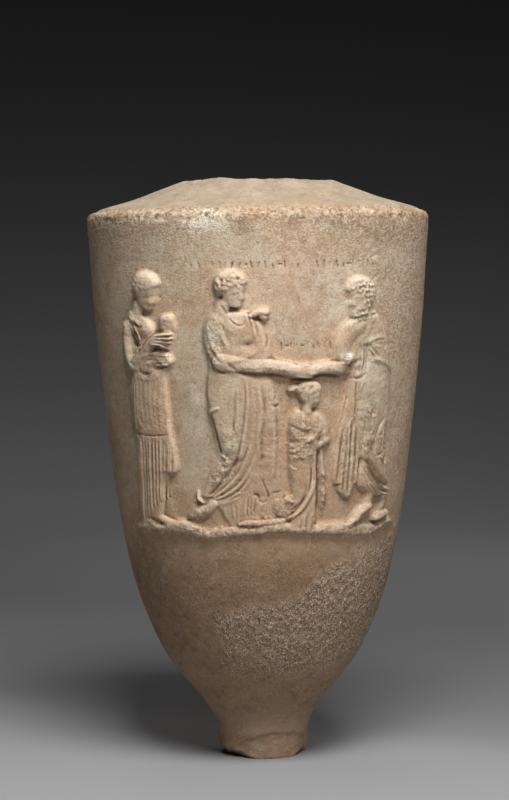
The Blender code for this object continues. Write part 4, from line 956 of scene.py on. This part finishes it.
def gridMesh(points, name):
    # rows run from the top pole to the bottom pole, columns all the way round
    rows, columns = points.shape[:2]
    co = np.concatenate([points[:1, :1].reshape(1, 3), points[1:-1].reshape(-1, 3), points[-1:, :1].reshape(1, 3)])
    rings = 1 + np.arange((rows - 2) * columns).reshape(rows - 2, columns)
    nextRing = np.roll(rings, -1, axis=1)
    quads = np.stack([rings[:-1], rings[1:], nextRing[1:], nextRing[:-1]], axis=-1).reshape(-1, 4)
    last = len(co) - 1
    topFan = np.stack([np.zeros(columns, int), rings[0], nextRing[0]], axis=-1)
    lowFan = np.stack([np.full(columns, last), nextRing[-1], rings[-1]], axis=-1)
    mesh = bpy.data.meshes.new(name)
    mesh.vertices.add(len(co))
    mesh.vertices.foreach_set("co", co.astype(np.float32).ravel())
    corners = np.concatenate([topFan.ravel(), quads.ravel(), lowFan.ravel()])
    sizes = np.concatenate([np.full(columns, 3), np.full(len(quads), 4), np.full(columns, 3)])
    mesh.loops.add(len(corners))
    mesh.loops.foreach_set("vertex_index", corners.astype(np.int32))
    mesh.polygons.add(len(sizes))
    mesh.polygons.foreach_set("loop_start", (np.cumsum(sizes) - sizes).astype(np.int32))
    mesh.update(calc_edges=True)
    mesh.validate()
    return mesh


def thinned(mesh, name):
    # collapse edges first where the stone is plain, last where it is carved
    piece = bpy.data.objects.new(name, mesh)
    bpy.context.scene.collection.objects.link(piece)
    co = np.empty(len(mesh.vertices) * 3, np.float32)
    mesh.vertices.foreach_get("co", co)
    co = co.reshape(-1, 3)
    a = np.arctan2(co[:, 0], -co[:, 1]) * np.hypot(co[:, 0], co[:, 1]) * 1000
    detail = smoothStep(0.1, 0.8, readMap(blurred(np.abs(finished) + 3 * grooveShade, 2.0), a, (co[:, 2] - vessel["groundLine"]) * 1000))
    plain = piece.vertex_groups.new(name="plain")
    for k in range(11):
        chosen = np.flatnonzero(np.rint(detail * 10) == k)
        plain.add(chosen.tolist(), 1 - 0.09 * k, "REPLACE")
    mesh.calc_loop_triangles()
    thin = piece.modifiers.new("thin", "DECIMATE")
    thin.ratio = vessel["triangles"] / len(mesh.loop_triangles)
    thin.vertex_group = "plain"
    thin.vertex_group_factor = vessel["keepFigures"]
    result = bpy.data.meshes.new_from_object(piece.evaluated_get(bpy.context.evaluated_depsgraph_get()))
    piece.modifiers.clear()
    piece.vertex_groups.clear()
    piece.data = result
    bpy.data.meshes.remove(mesh)
    result.name = name
    return piece


def attribute(mesh, name, values):
    layer = mesh.attributes.new(name, "FLOAT", "POINT")
    layer.data.foreach_set("value", np.asarray(values, np.float32))


# tone of the stone over the unrolled wall: a, z (mm), half sizes, strength
patches = {"pale": [(-115, 390, 26, 5, 0.6), (-69, 385, 23, 12, 2.2), (112, 215, 9, 7, 1.6), (60, 391, 170, 4, 0.35),
                    (-62, 228, 10, 26, 0.5), (148, 196, 24, 20, 0.4)],
           "olive": [(-84, 151, 24, 80, 1.0), (-111, 352, 46, 26, 0.8), (-17, 352, 42, 18, 0.6), (-38, 137, 14, 56, 0.9),
                     (-60, 246, 17, 32, 0.9), (126, 246, 24, 28, 0.8), (152, 178, 27, 64, 1.3), (-182, 137, 12, 80, 0.9),
                     (-84, 297, 20, 50, 0.5), (205, 200, 20, 150, 0.5), (-205, 250, 18, 120, 0.6)],
           "rust": [(-131, 97, 21, 92, 1.0), (-92, 275, 18, 36, 0.7), (-120, 290, 12, 24, 0.8), (-8, 249, 21, 24, 1.2),
                    (72, 228, 50, 15, 0.8), (17, 90, 40, 88, 1.0), (3, 20, 90, 28, 1.0), (110, 155, 22, 34, 0.9),
                    (112, 60, 40, 44, 0.9), (140, 22, 48, 18, 0.9), (-17, -62, 120, 40, 0.9), (-60, 310, 16, 30, 0.6),
                    (55, 100, 20, 50, 0.9), (15, 382, 40, 8, 0.6), (82, 203, 28, 8, 0.6)],
           "pink": [(73, 293, 44, 40, 0.9), (30, 335, 120, 24, 0.4), (150, 320, 30, 40, 0.5)],
           # dark: brown stains, and at (112, 198) a painted shadow at the end of the man's forearm under the wad of
           # cloth
           "dark": [(82, 203, 26, 7, 0.4), (-26, 380, 22, 10, 1.1), (40, 384, 34, 9, 1.1), (102, 380, 24, 12, 1.0), (160, 372, 40, 16, 0.5),
                    (-150, 375, 16, 14, 0.5), (-150, -70, 22, 50, 0.8), (-185, -40, 30, 90, 0.9), (-60, -30, 30, 20, 0.5),
                    (-105, -120, 30, 40, 0.6), (125, 36, 56, 24, 0.6), (56, 112, 20, 24, 0.4), (112, 198, 12, 7, 1.3)]}


def paint(mesh):
    # masks for the material, worked out at each point of the finished mesh
    co = np.empty(len(mesh.vertices) * 3, np.float32)
    mesh.vertices.foreach_get("co", co)
    co = co.reshape(-1, 3).astype(float)
    radius = np.hypot(co[:, 0], co[:, 1])
    angle = np.arctan2(co[:, 0], -co[:, 1])
    a, z = angle * radius * 1000, (co[:, 2] - vessel["groundLine"]) * 1000
    smoothed, wide = blurred(finished, 1.8), blurred(finished, 5.0)
    carvedHere = smoothStep(0.60, 0.88, blurred(smoothStep(0.5, 1.5, finished), 3.2))     # enclosed by figures
    # painted shade, partly dirt: darker where the surface lies below its blurred self, in recesses and round tall
    # figures, with the painted shade of the grooves added
    recessDirtAndShade = np.clip((smoothed - finished - 0.05) / 0.8, 0, 1) + np.clip((wide - finished - 0.8) / 3.0, 0, 1)
    raised = np.clip((finished - wide) / 4.0, 0, 1) + 0.7 * np.clip((finished - smoothed - 0.10) / 0.6, 0, 1)
    attribute(mesh, "recessDirtAndShade", np.clip(readMap(recessDirtAndShade * carvedHere + 1.3 * grooveShade, a, z), 0, 1))
    attribute(mesh, "raised", np.clip(readMap(raised * carvedHere, a, z), 0, 1))
    attribute(mesh, "figure", smoothStep(0.6, 2.5, readMap(finished, a, z)))
    attribute(mesh, "crust", crustMask(co, angle))
    rim = vessel["height"] * vessel["rimShare"]
    rough = 0.24 + 0.50 * smoothStep(0.2, 1.1, angle) + 0.6 * smoothStep(rim - 0.055, rim - 0.012, co[:, 2])
    rough = rough + 0.35 * layered(co, 0.060, 83) + 0.12 * layered(co, 0.020, 85)
    rough = rough * (0.50 + 0.50 * smoothStep(0.18, 0.32, co[:, 2])) * (1 - 0.75 * smoothStep(rim + 0.006, rim + 0.012, co[:, 2]))
    edge = smoothStep(rim - 0.014, rim - 0.004, co[:, 2]) * smoothStep(rim + 0.011, rim + 0.005, co[:, 2])
    rough = rough * (1 - 0.40 * smoothStep(0.6, 2.5, readMap(finished, a, z)))
    rough = np.maximum(rough, 0.95 * readMap(battered, a, z))
    rough = np.maximum(rough, 0.9 * smoothStep(0.042, 0.030, co[:, 2] + 0.15 * co[:, 0]) * smoothStep(0.02, -0.02, co[:, 1]))
    attribute(mesh, "rough", np.clip(rough, 0, 1) * 0.85 + 0.15)
    attribute(mesh, "top", smoothStep(rim + 0.003, rim + 0.011, co[:, 2]))
    attribute(mesh, "edge", edge * smoothStep(0.88, 0.94, radius / vessel["radius"]))
    for name, spots in patches.items():
        stray = 5 if name == "pale" else 13
        strayA, strayZ = a + stray * layered(co, 0.050, 91, 4), z + stray * layered(co, 0.050, 93, 4)
        total = np.zeros(len(co))
        for a0, z0, sizeA, sizeZ, strength in spots:
            total += strength * np.exp(-np.abs((strayA - a0) / sizeA) ** 3 - np.abs((strayZ - z0) / sizeZ) ** 3)
        attribute(mesh, name, np.clip(total, 0, 1))


# ---- marble ----
marble = {"wall": (0.58, 0.416, 0.285, 1), "figure": (0.62, 0.472, 0.335, 1), "grey": (0.480, 0.400, 0.287, 1),
          "olive": (0.510, 0.452, 0.322, 1), "pink": (0.575, 0.445, 0.350, 1), "brown": (0.225, 0.150, 0.095, 1),
          "dirtAndShade": (0.085, 0.048, 0.026, 1), "rust": (0.51, 0.315, 0.188, 1), "tan": (0.36, 0.215, 0.120, 1),
          "pale": (0.76, 0.67, 0.53, 1), "white": (0.82, 0.735, 0.595, 1), "warm": (0.42, 0.258, 0.145, 1), "low": (0.268, 0.174, 0.108, 1), "lowWarm": (0.235, 0.134, 0.070, 1),
          "dust": (0.30, 0.235, 0.165, 1), "foot": (0.44, 0.325, 0.225, 1), "roughness": 0.85}


def marbleMaterial():
    material = bpy.data.materials.new("weatheredMarble")
    material.use_nodes = True
    nodes, links = material.node_tree.nodes, material.node_tree.links
    shader = nodes["Principled BSDF"]
    shader.inputs["Roughness"].default_value = marble["roughness"]
    shader.inputs["Specular IOR Level"].default_value = 0.25
    place = nodes.new("ShaderNodeTexCoord").outputs["Object"]
    drawn = nodes.new("ShaderNodeMapping")        # stretched front to back, so that the grain stays even round the sides
    drawn.inputs["Scale"].default_value = (1, 0.62, 1)
    links.new(place, drawn.inputs["Vector"])

    def noise(scale, detail=4.0, rough=0.6, distort=0.0):
        node = nodes.new("ShaderNodeTexNoise")
        node.inputs["Scale"].default_value = scale
        node.inputs["Detail"].default_value = detail
        node.inputs["Roughness"].default_value = rough
        node.inputs["Distortion"].default_value = distort
        links.new(drawn.outputs["Vector"], node.inputs["Vector"])
        return node.outputs["Fac"]

    def ranged(source, low, high, to0=0.0, to1=1.0):
        node = nodes.new("ShaderNodeMapRange")
        node.inputs["From Min"].default_value = low
        node.inputs["From Max"].default_value = high
        node.inputs["To Min"].default_value = to0
        node.inputs["To Max"].default_value = to1
        links.new(source, node.inputs["Value"])
        return node.outputs["Result"]

    def maths(kind, first, second, clamp=True):
        node = nodes.new("ShaderNodeMath")
        node.operation = kind
        node.use_clamp = clamp
        for socket, item in zip(node.inputs, (first, second)):
            if isinstance(item, float):
                socket.default_value = item
            else:
                links.new(item, socket)
        return node.outputs["Value"]

    def blend(amount, under, over, kind="MIX"):
        node = nodes.new("ShaderNodeMix")
        node.data_type = "RGBA"
        node.blend_type = kind
        links.new(amount, node.inputs["Factor"])
        for socket, item in ((node.inputs["A"], under), (node.inputs["B"], over)):
            if isinstance(item, tuple):
                socket.default_value = item
            else:
                links.new(item, socket)
        return node.outputs["Result"]

    def mask(name):
        node = nodes.new("ShaderNodeAttribute")
        node.attribute_name = name
        return node.outputs["Fac"]

    xyz = nodes.new("ShaderNodeSeparateXYZ")
    links.new(place, xyz.inputs["Vector"])
    high = xyz.outputs["Z"]

    # broad tones: warm wall with greyer, greener and rustier clouds, brown towards the foot
    colour = blend(maths("MULTIPLY", ranged(noise(9.0, 5), 0.42, 0.62), 0.5), marble["wall"], marble["grey"])
    colour = blend(maths("MULTIPLY", mask("figure"), 0.30), colour, marble["figure"])
    for name, strength in (("olive", 0.85), ("pink", 0.7), ("rust", 0.9)):
        uneven = ranged(noise(26.0 + 9 * len(name), 6, 0.65), 0.30, 0.58, 0.35, 1.0)
        colour = blend(maths("MULTIPLY", maths("MULTIPLY", mask(name), strength), uneven), colour, marble[name])
    low = maths("MULTIPLY", ranged(high, 0.330, 0.235), ranged(noise(14.0, 6, 0.65), 0.30, 0.62, 0.80, 1.0))
    colour = blend(low, colour, marble["low"])
    lowRust = maths("MULTIPLY", maths("MULTIPLY", mask("rust"), ranged(high, 0.30, 0.27)), ranged(noise(24.0, 5), 0.32, 0.6, 0.35, 1.0))
    colour = blend(lowRust, colour, marble["lowWarm"])
    # stains, with one painted shadow among the dark patches, scratches of pale stone, mottling; at the end, painted
    # shade in recesses and grooves
    colour = blend(maths("MULTIPLY", mask("dark"), ranged(noise(55.0, 6, 0.7), 0.38, 0.54, 0.15, 0.95)), colour, marble["brown"])
    clouds, upper = noise(34.0, 8, 0.75), ranged(high, 0.22, 0.36, 0.12, 1.0)
    broad, carvedZone = noise(12.0, 7, 0.66, 0.8), ranged(high, 0.27, 0.33)
    colour = blend(maths("MULTIPLY", ranged(broad, 0.50, 0.60, 0.0, 0.38), carvedZone), colour, marble["rust"])
    colour = blend(maths("MULTIPLY", ranged(broad, 0.47, 0.40, 0.0, 0.24), carvedZone), colour, marble["pale"])
    colour = blend(maths("MULTIPLY", ranged(noise(75.0, 6, 0.75), 0.52, 0.62, 0.0, 0.5), ranged(high, 0.31, 0.27)), colour, marble["dirtAndShade"])
    colour = blend(maths("MULTIPLY", ranged(clouds, 0.47, 0.62), 0.50), colour, marble["tan"])
    colour = blend(maths("MULTIPLY", ranged(noise(46.0, 8, 0.75, 0.6), 0.52, 0.64, 0.0, 0.45), upper), colour, marble["pale"])
    colour = blend(maths("MULTIPLY", ranged(noise(21.0, 7, 0.7), 0.55, 0.66, 0.0, 0.5), upper), colour, marble["olive"])
    colour = blend(maths("MULTIPLY", mask("pale"), ranged(noise(38.0, 7, 0.7), 0.34, 0.52, 0.45, 1.0)), colour, marble["white"])
    warmth = maths("MULTIPLY", ranged(high, 0.58, 0.38, 0.0, 0.42), ranged(high, 0.25, 0.30))
    colour = blend(maths("MULTIPLY", warmth, ranged(mask("olive"), 0.9, 0.0, 0.2, 1.0)), colour, marble["warm"])
    colour = blend(maths("MULTIPLY", mask("raised"), 0.36), colour, marble["pale"])
    near = maths("ABSOLUTE", maths("SUBTRACT", noise(42.0, 5, 0.7, 1.4), 0.5, clamp=False), 0.0)
    scratch = maths("MULTIPLY", ranged(near, 0.012, 0.004), ranged(noise(52.0, 3, 0.6), 0.52, 0.60))
    scratch = maths("MULTIPLY", scratch, ranged(mask("figure"), 0.3, 0.0))
    colour = blend(maths("MULTIPLY", scratch, 0.30), colour, marble["brown"])
    stain = maths("MULTIPLY", ranged(noise(30.0, 8, 0.78, 0.4), 0.56, 0.68, 0.0, 0.55), carvedZone)
    colour = blend(stain, colour, marble["tan"])
    grain, speck = noise(300.0, 4, 0.65), noise(140.0, 5, 0.7)
    colour = blend(maths("MULTIPLY", mask("rough"), ranged(speck, 0.50, 0.38, 0.0, 0.75)), colour, marble["tan"])
    colour = blend(maths("MULTIPLY", mask("rough"), ranged(grain, 0.48, 0.36, 0.0, 0.62)), colour, marble["brown"])
    colour = blend(maths("MULTIPLY", mask("rough"), ranged(grain, 0.52, 0.66, 0.0, 0.55)), colour, marble["pale"])
    coarse, fine = noise(290.0, 2, 0.5, 0.9), noise(640.0, 2, 0.5)
    colour = blend(maths("MULTIPLY", mask("crust"), ranged(coarse, 0.42, 0.62, 0.0, 0.72)), colour, marble["foot"])
    colour = blend(maths("MULTIPLY", mask("crust"), ranged(fine, 0.55, 0.68, 0.0, 0.72)), colour, marble["pale"])
    colour = blend(maths("MULTIPLY", mask("crust"), ranged(fine, 0.46, 0.34, 0.0, 0.68)), colour, marble["dirtAndShade"])
    colour = blend(maths("MULTIPLY", ranged(high, 0.28, 0.20), ranged(fine, 0.46, 0.34, 0.0, 0.22)), colour, marble["dirtAndShade"])
    colour = blend(maths("MULTIPLY", lowRust, ranged(fine, 0.48, 0.36, 0.0, 0.65)), colour, marble["dirtAndShade"])
    colour = blend(maths("MULTIPLY", lowRust, ranged(fine, 0.54, 0.66, 0.0, 0.35)), colour, marble["foot"])
    colour = blend(maths("MULTIPLY", carvedZone, ranged(fine, 0.54, 0.70, 0.0, 0.30)), colour, marble["pale"])
    colour = blend(maths("MULTIPLY", carvedZone, ranged(fine, 0.46, 0.32, 0.0, 0.38)), colour, marble["tan"])
    chips = noise(150.0, 6, 0.7)
    colour = blend(maths("MULTIPLY", mask("edge"), ranged(chips, 0.48, 0.62, 0.0, 0.30)), colour, marble["pale"])
    colour = blend(maths("MULTIPLY", mask("edge"), ranged(chips, 0.50, 0.38, 0.0, 1.0)), colour, marble["brown"])
    colour = blend(maths("MULTIPLY", mask("edge"), ranged(clouds, 0.44, 0.62, 0.12, 0.62)), colour, marble["tan"])
    # painted shade and dirt in recesses and grooves: tan, then dark brown where deepest
    colour = blend(maths("MULTIPLY", mask("recessDirtAndShade"), 0.55), colour, marble["tan"])
    colour = blend(maths("MULTIPLY", maths("MULTIPLY", mask("recessDirtAndShade"), mask("recessDirtAndShade")), 0.6), colour, marble["dirtAndShade"])
    colour = blend(maths("MULTIPLY", mask("top"), ranged(clouds, 0.40, 0.60, 0.50, 0.78)), colour, marble["dust"])
    colour = blend(ranged(high, 0.085, 0.025, 0.0, 0.62), colour, marble["foot"])
    colour = blend(maths("MULTIPLY", ranged(high, 0.040, 0.026, 0.0, 0.65), ranged(noise(48.0, 7, 0.7), 0.42, 0.60)), colour, marble["tan"])
    links.new(colour, shader.inputs["Base Color"])

    # fine grain everywhere, stronger where the stone is rough, coarse where it is crusted
    bump = nodes.new("ShaderNodeBump")
    bump.inputs["Strength"].default_value = 1.0
    bump.inputs["Distance"].default_value = 0.0024
    total = maths("MULTIPLY", grain, maths("ADD", maths("MULTIPLY", mask("rough"), 0.60), 0.04))
    total = maths("ADD", total, maths("MULTIPLY", fine, maths("ADD", maths("MULTIPLY", mask("rough"), 0.42), 0.10)), clamp=False)
    total = maths("ADD", total, maths("MULTIPLY", maths("MULTIPLY", speck, mask("rough")), 0.30), clamp=False)
    total = maths("ADD", total, maths("MULTIPLY", coarse, maths("MULTIPLY", mask("crust"), 1.0)), clamp=False)
    total = maths("SUBTRACT", total, maths("MULTIPLY", scratch, 0.12), clamp=False)
    links.new(total, bump.inputs["Height"])
    links.new(bump.outputs["Normal"], shader.inputs["Normal"])
    return material


# ---- build ----
carveAll()
print("stage 2: relief laid out,", carved.shape, "points")
finished = vessel["depth"] * worn(carved)
stone = thinned(gridMesh(stoneGrid(), "lekythosStone"), "lekythosStone")
print("stage 3: stone built,", len(stone.data.polygons), "faces")
centres = np.array([p.center[:] for p in stone.data.polygons])
inRelief = (centres[:, 1] < 0) & (centres[:, 2] > 0.286) & (centres[:, 2] < 0.664)
print("faces in relief band front", inRelief.sum())
paint(stone.data)
stone.data.shade_smooth()
stone.data.materials.clear()
stone.data.materials.append(marbleMaterial())
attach(stone, "root")
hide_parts("lekythos")

# ---- studio ----
# paintedFalloff: grey of the paper at each way back and up (m), painted light falloff, darker far back and where the
# lamps reach less; lean and leanWidth tilt it across the paper
studio = {"paintedFalloff": [(-0.35, 0.36), (0, 0.33), (0.13, 0.32), (0.27, 0.25), (0.44, 0.215), (0.62, 0.20), (1.06, 0.166),
                    (1.33, 0.162), (1.79, 0.194), (2.3, 0.232), (2.8, 0.240), (3.3, 0.220), (3.8, 0.187), (4.4, 0.148),
                    (5.0, 0.108), (5.6, 0.068), (6.2, 0.045), (6.9, 0.025)],
          "tint": 1.02, "lean": (0.6, 0.17), "leanWidth": 1.3, "halfWidth": 14.0, "front": -14.0,
          "back": 2.6, "curve": 2.8, "top": 5.4,
          "key": {"at": (0.28, -1.42, 2.40), "aim": (0, 0, 0.44), "size": 1.15, "power": 78.0},
          "fill": {"at": (1.35, -2.7, 1.50), "aim": (0, 0, 0.35), "size": 1.0, "power": 17.0},
          "paperLight": {"at": (-0.05, 2.0, 2.4), "aim": (0.05, 1.2, 0), "size": 1.4, "power": 10.5},
          "backLight": {"at": (0, 3.0, 1.3), "aim": (0, 0.2, 0.4), "size": 0.9, "power": 25.0},
          "world": 0.016,
          "camera": {"at": (-0.0065, -3.25, 0.646), "pitch": 3.25, "roll": 0.6, "lens": 112.5}}


def sweepMesh():
    # floor, quarter circle and back wall as one profile carried across the width
    bend = np.linspace(0, math.pi / 2, 24)
    y = np.concatenate([[studio["front"]], studio["back"] + studio["curve"] * np.sin(bend), [studio["back"] + studio["curve"]]])
    z = np.concatenate([[0], studio["curve"] * (1 - np.cos(bend)), [studio["top"]]])
    x = np.array([-studio["halfWidth"], studio["halfWidth"]])
    co = np.stack([np.repeat(x, len(y)), np.tile(y, 2), np.tile(z, 2)], axis=-1)
    n = len(y)
    i = np.arange(n - 1)
    faces = np.stack([i, i + n, i + n + 1, i + 1], axis=-1)
    mesh = bpy.data.meshes.new("studioSweep")
    mesh.from_pydata(co.tolist(), [], faces.tolist())
    mesh.shade_smooth()
    return mesh


def sweepMaterial():
    material = bpy.data.materials.new("studioPaper")
    material.use_nodes = True
    nodes, links = material.node_tree.nodes, material.node_tree.links
    shader = nodes["Principled BSDF"]
    shader.inputs["Roughness"].default_value = 0.9
    # painted light falloff: the grey follows the way back and up the paper and leans across it, in place of light
    # falling off
    xyz = nodes.new("ShaderNodeSeparateXYZ")
    links.new(nodes.new("ShaderNodeTexCoord").outputs["Object"], xyz.inputs["Vector"])
    way = nodes.new("ShaderNodeMath")             # way back and up along the paper
    way.operation = "ADD"
    links.new(xyz.outputs["Y"], way.inputs[0])
    links.new(xyz.outputs["Z"], way.inputs[1])
    lean = nodes.new("ShaderNodeMapRange")        # how far the painted falloff leans across the paper, less on the wall
    lean.inputs["From Max"].default_value = 0.5
    lean.inputs["To Min"].default_value, lean.inputs["To Max"].default_value = studio["lean"]
    links.new(xyz.outputs["Z"], lean.inputs["Value"])
    side = nodes.new("ShaderNodeMapRange")
    for name in ("From Min", "To Min"):
        side.inputs[name].default_value = -studio["leanWidth"]
    for name in ("From Max", "To Max"):
        side.inputs[name].default_value = studio["leanWidth"]
    links.new(xyz.outputs["X"], side.inputs["Value"])
    across = nodes.new("ShaderNodeMath")
    across.operation = "MULTIPLY_ADD"
    links.new(side.outputs["Result"], across.inputs[0])
    links.new(lean.outputs["Result"], across.inputs[1])
    links.new(way.outputs["Value"], across.inputs[2])
    along = nodes.new("ShaderNodeMapRange")
    along.inputs["From Min"].default_value = studio["paintedFalloff"][0][0]
    along.inputs["From Max"].default_value = studio["paintedFalloff"][-1][0]
    links.new(across.outputs["Value"], along.inputs["Value"])
    ramp = nodes.new("ShaderNodeValToRGB")
    first, last = studio["paintedFalloff"][0][0], studio["paintedFalloff"][-1][0]
    for k, (place, grey) in enumerate(studio["paintedFalloff"]):
        position = (place - first) / (last - first)
        ends = {0: 0, len(studio["paintedFalloff"]) - 1: -1}
        spot = ramp.color_ramp.elements[ends[k]] if k in ends else ramp.color_ramp.elements.new(position)
        spot.color = (grey, grey, grey * studio["tint"], 1)
    links.new(along.outputs["Result"], ramp.inputs["Fac"])
    links.new(ramp.outputs["Color"], shader.inputs["Base Color"])
    return material


def softLight(name, setting):
    data = bpy.data.lights.new(name, "AREA")
    data.energy = setting["power"]
    data.size = setting["size"]
    lamp = bpy.data.objects.new(name, data)
    bpy.context.scene.collection.objects.link(lamp)
    away = Vector(setting["at"]) - Vector(setting["aim"])
    lamp.rotation_euler = away.to_track_quat("Z", "Y").to_euler()
    lamp.location = setting["at"]
    return lamp


sweep = bpy.data.objects.new("studioSweep", sweepMesh())
bpy.context.scene.collection.objects.link(sweep)
sweep.data.materials.append(sweepMaterial())
for lightName in ("key", "fill", "paperLight"):
    softLight(lightName, studio[lightName])
stoneOnly = bpy.data.collections.new("stoneOnly")     # the light behind reaches the stone and not the paper
stoneOnly.objects.link(stone)
softLight("backLight", studio["backLight"]).light_linking.receiver_collection = stoneOnly

world = bpy.context.scene.world or bpy.data.worlds.new("studio")
bpy.context.scene.world = world
world.use_nodes = True
world.node_tree.nodes["Background"].inputs["Color"].default_value = (1, 1, 1, 1)
world.node_tree.nodes["Background"].inputs["Strength"].default_value = studio["world"]

cameraData = bpy.data.cameras.new("camera")
cameraData.lens = studio["camera"]["lens"]
cameraData.sensor_width = 36
camera = bpy.data.objects.new("camera", cameraData)
bpy.context.scene.collection.objects.link(camera)
camera.matrix_world = (Matrix.Translation(studio["camera"]["at"])
                       @ Matrix.Rotation(math.radians(90 - studio["camera"]["pitch"]), 4, "X")
                       @ Matrix.Rotation(math.radians(-studio["camera"]["roll"]), 4, "Z"))
bpy.context.scene.camera = camera
bpy.context.scene.view_settings.view_transform = "Standard"
print("stage 4: studio and camera placed")
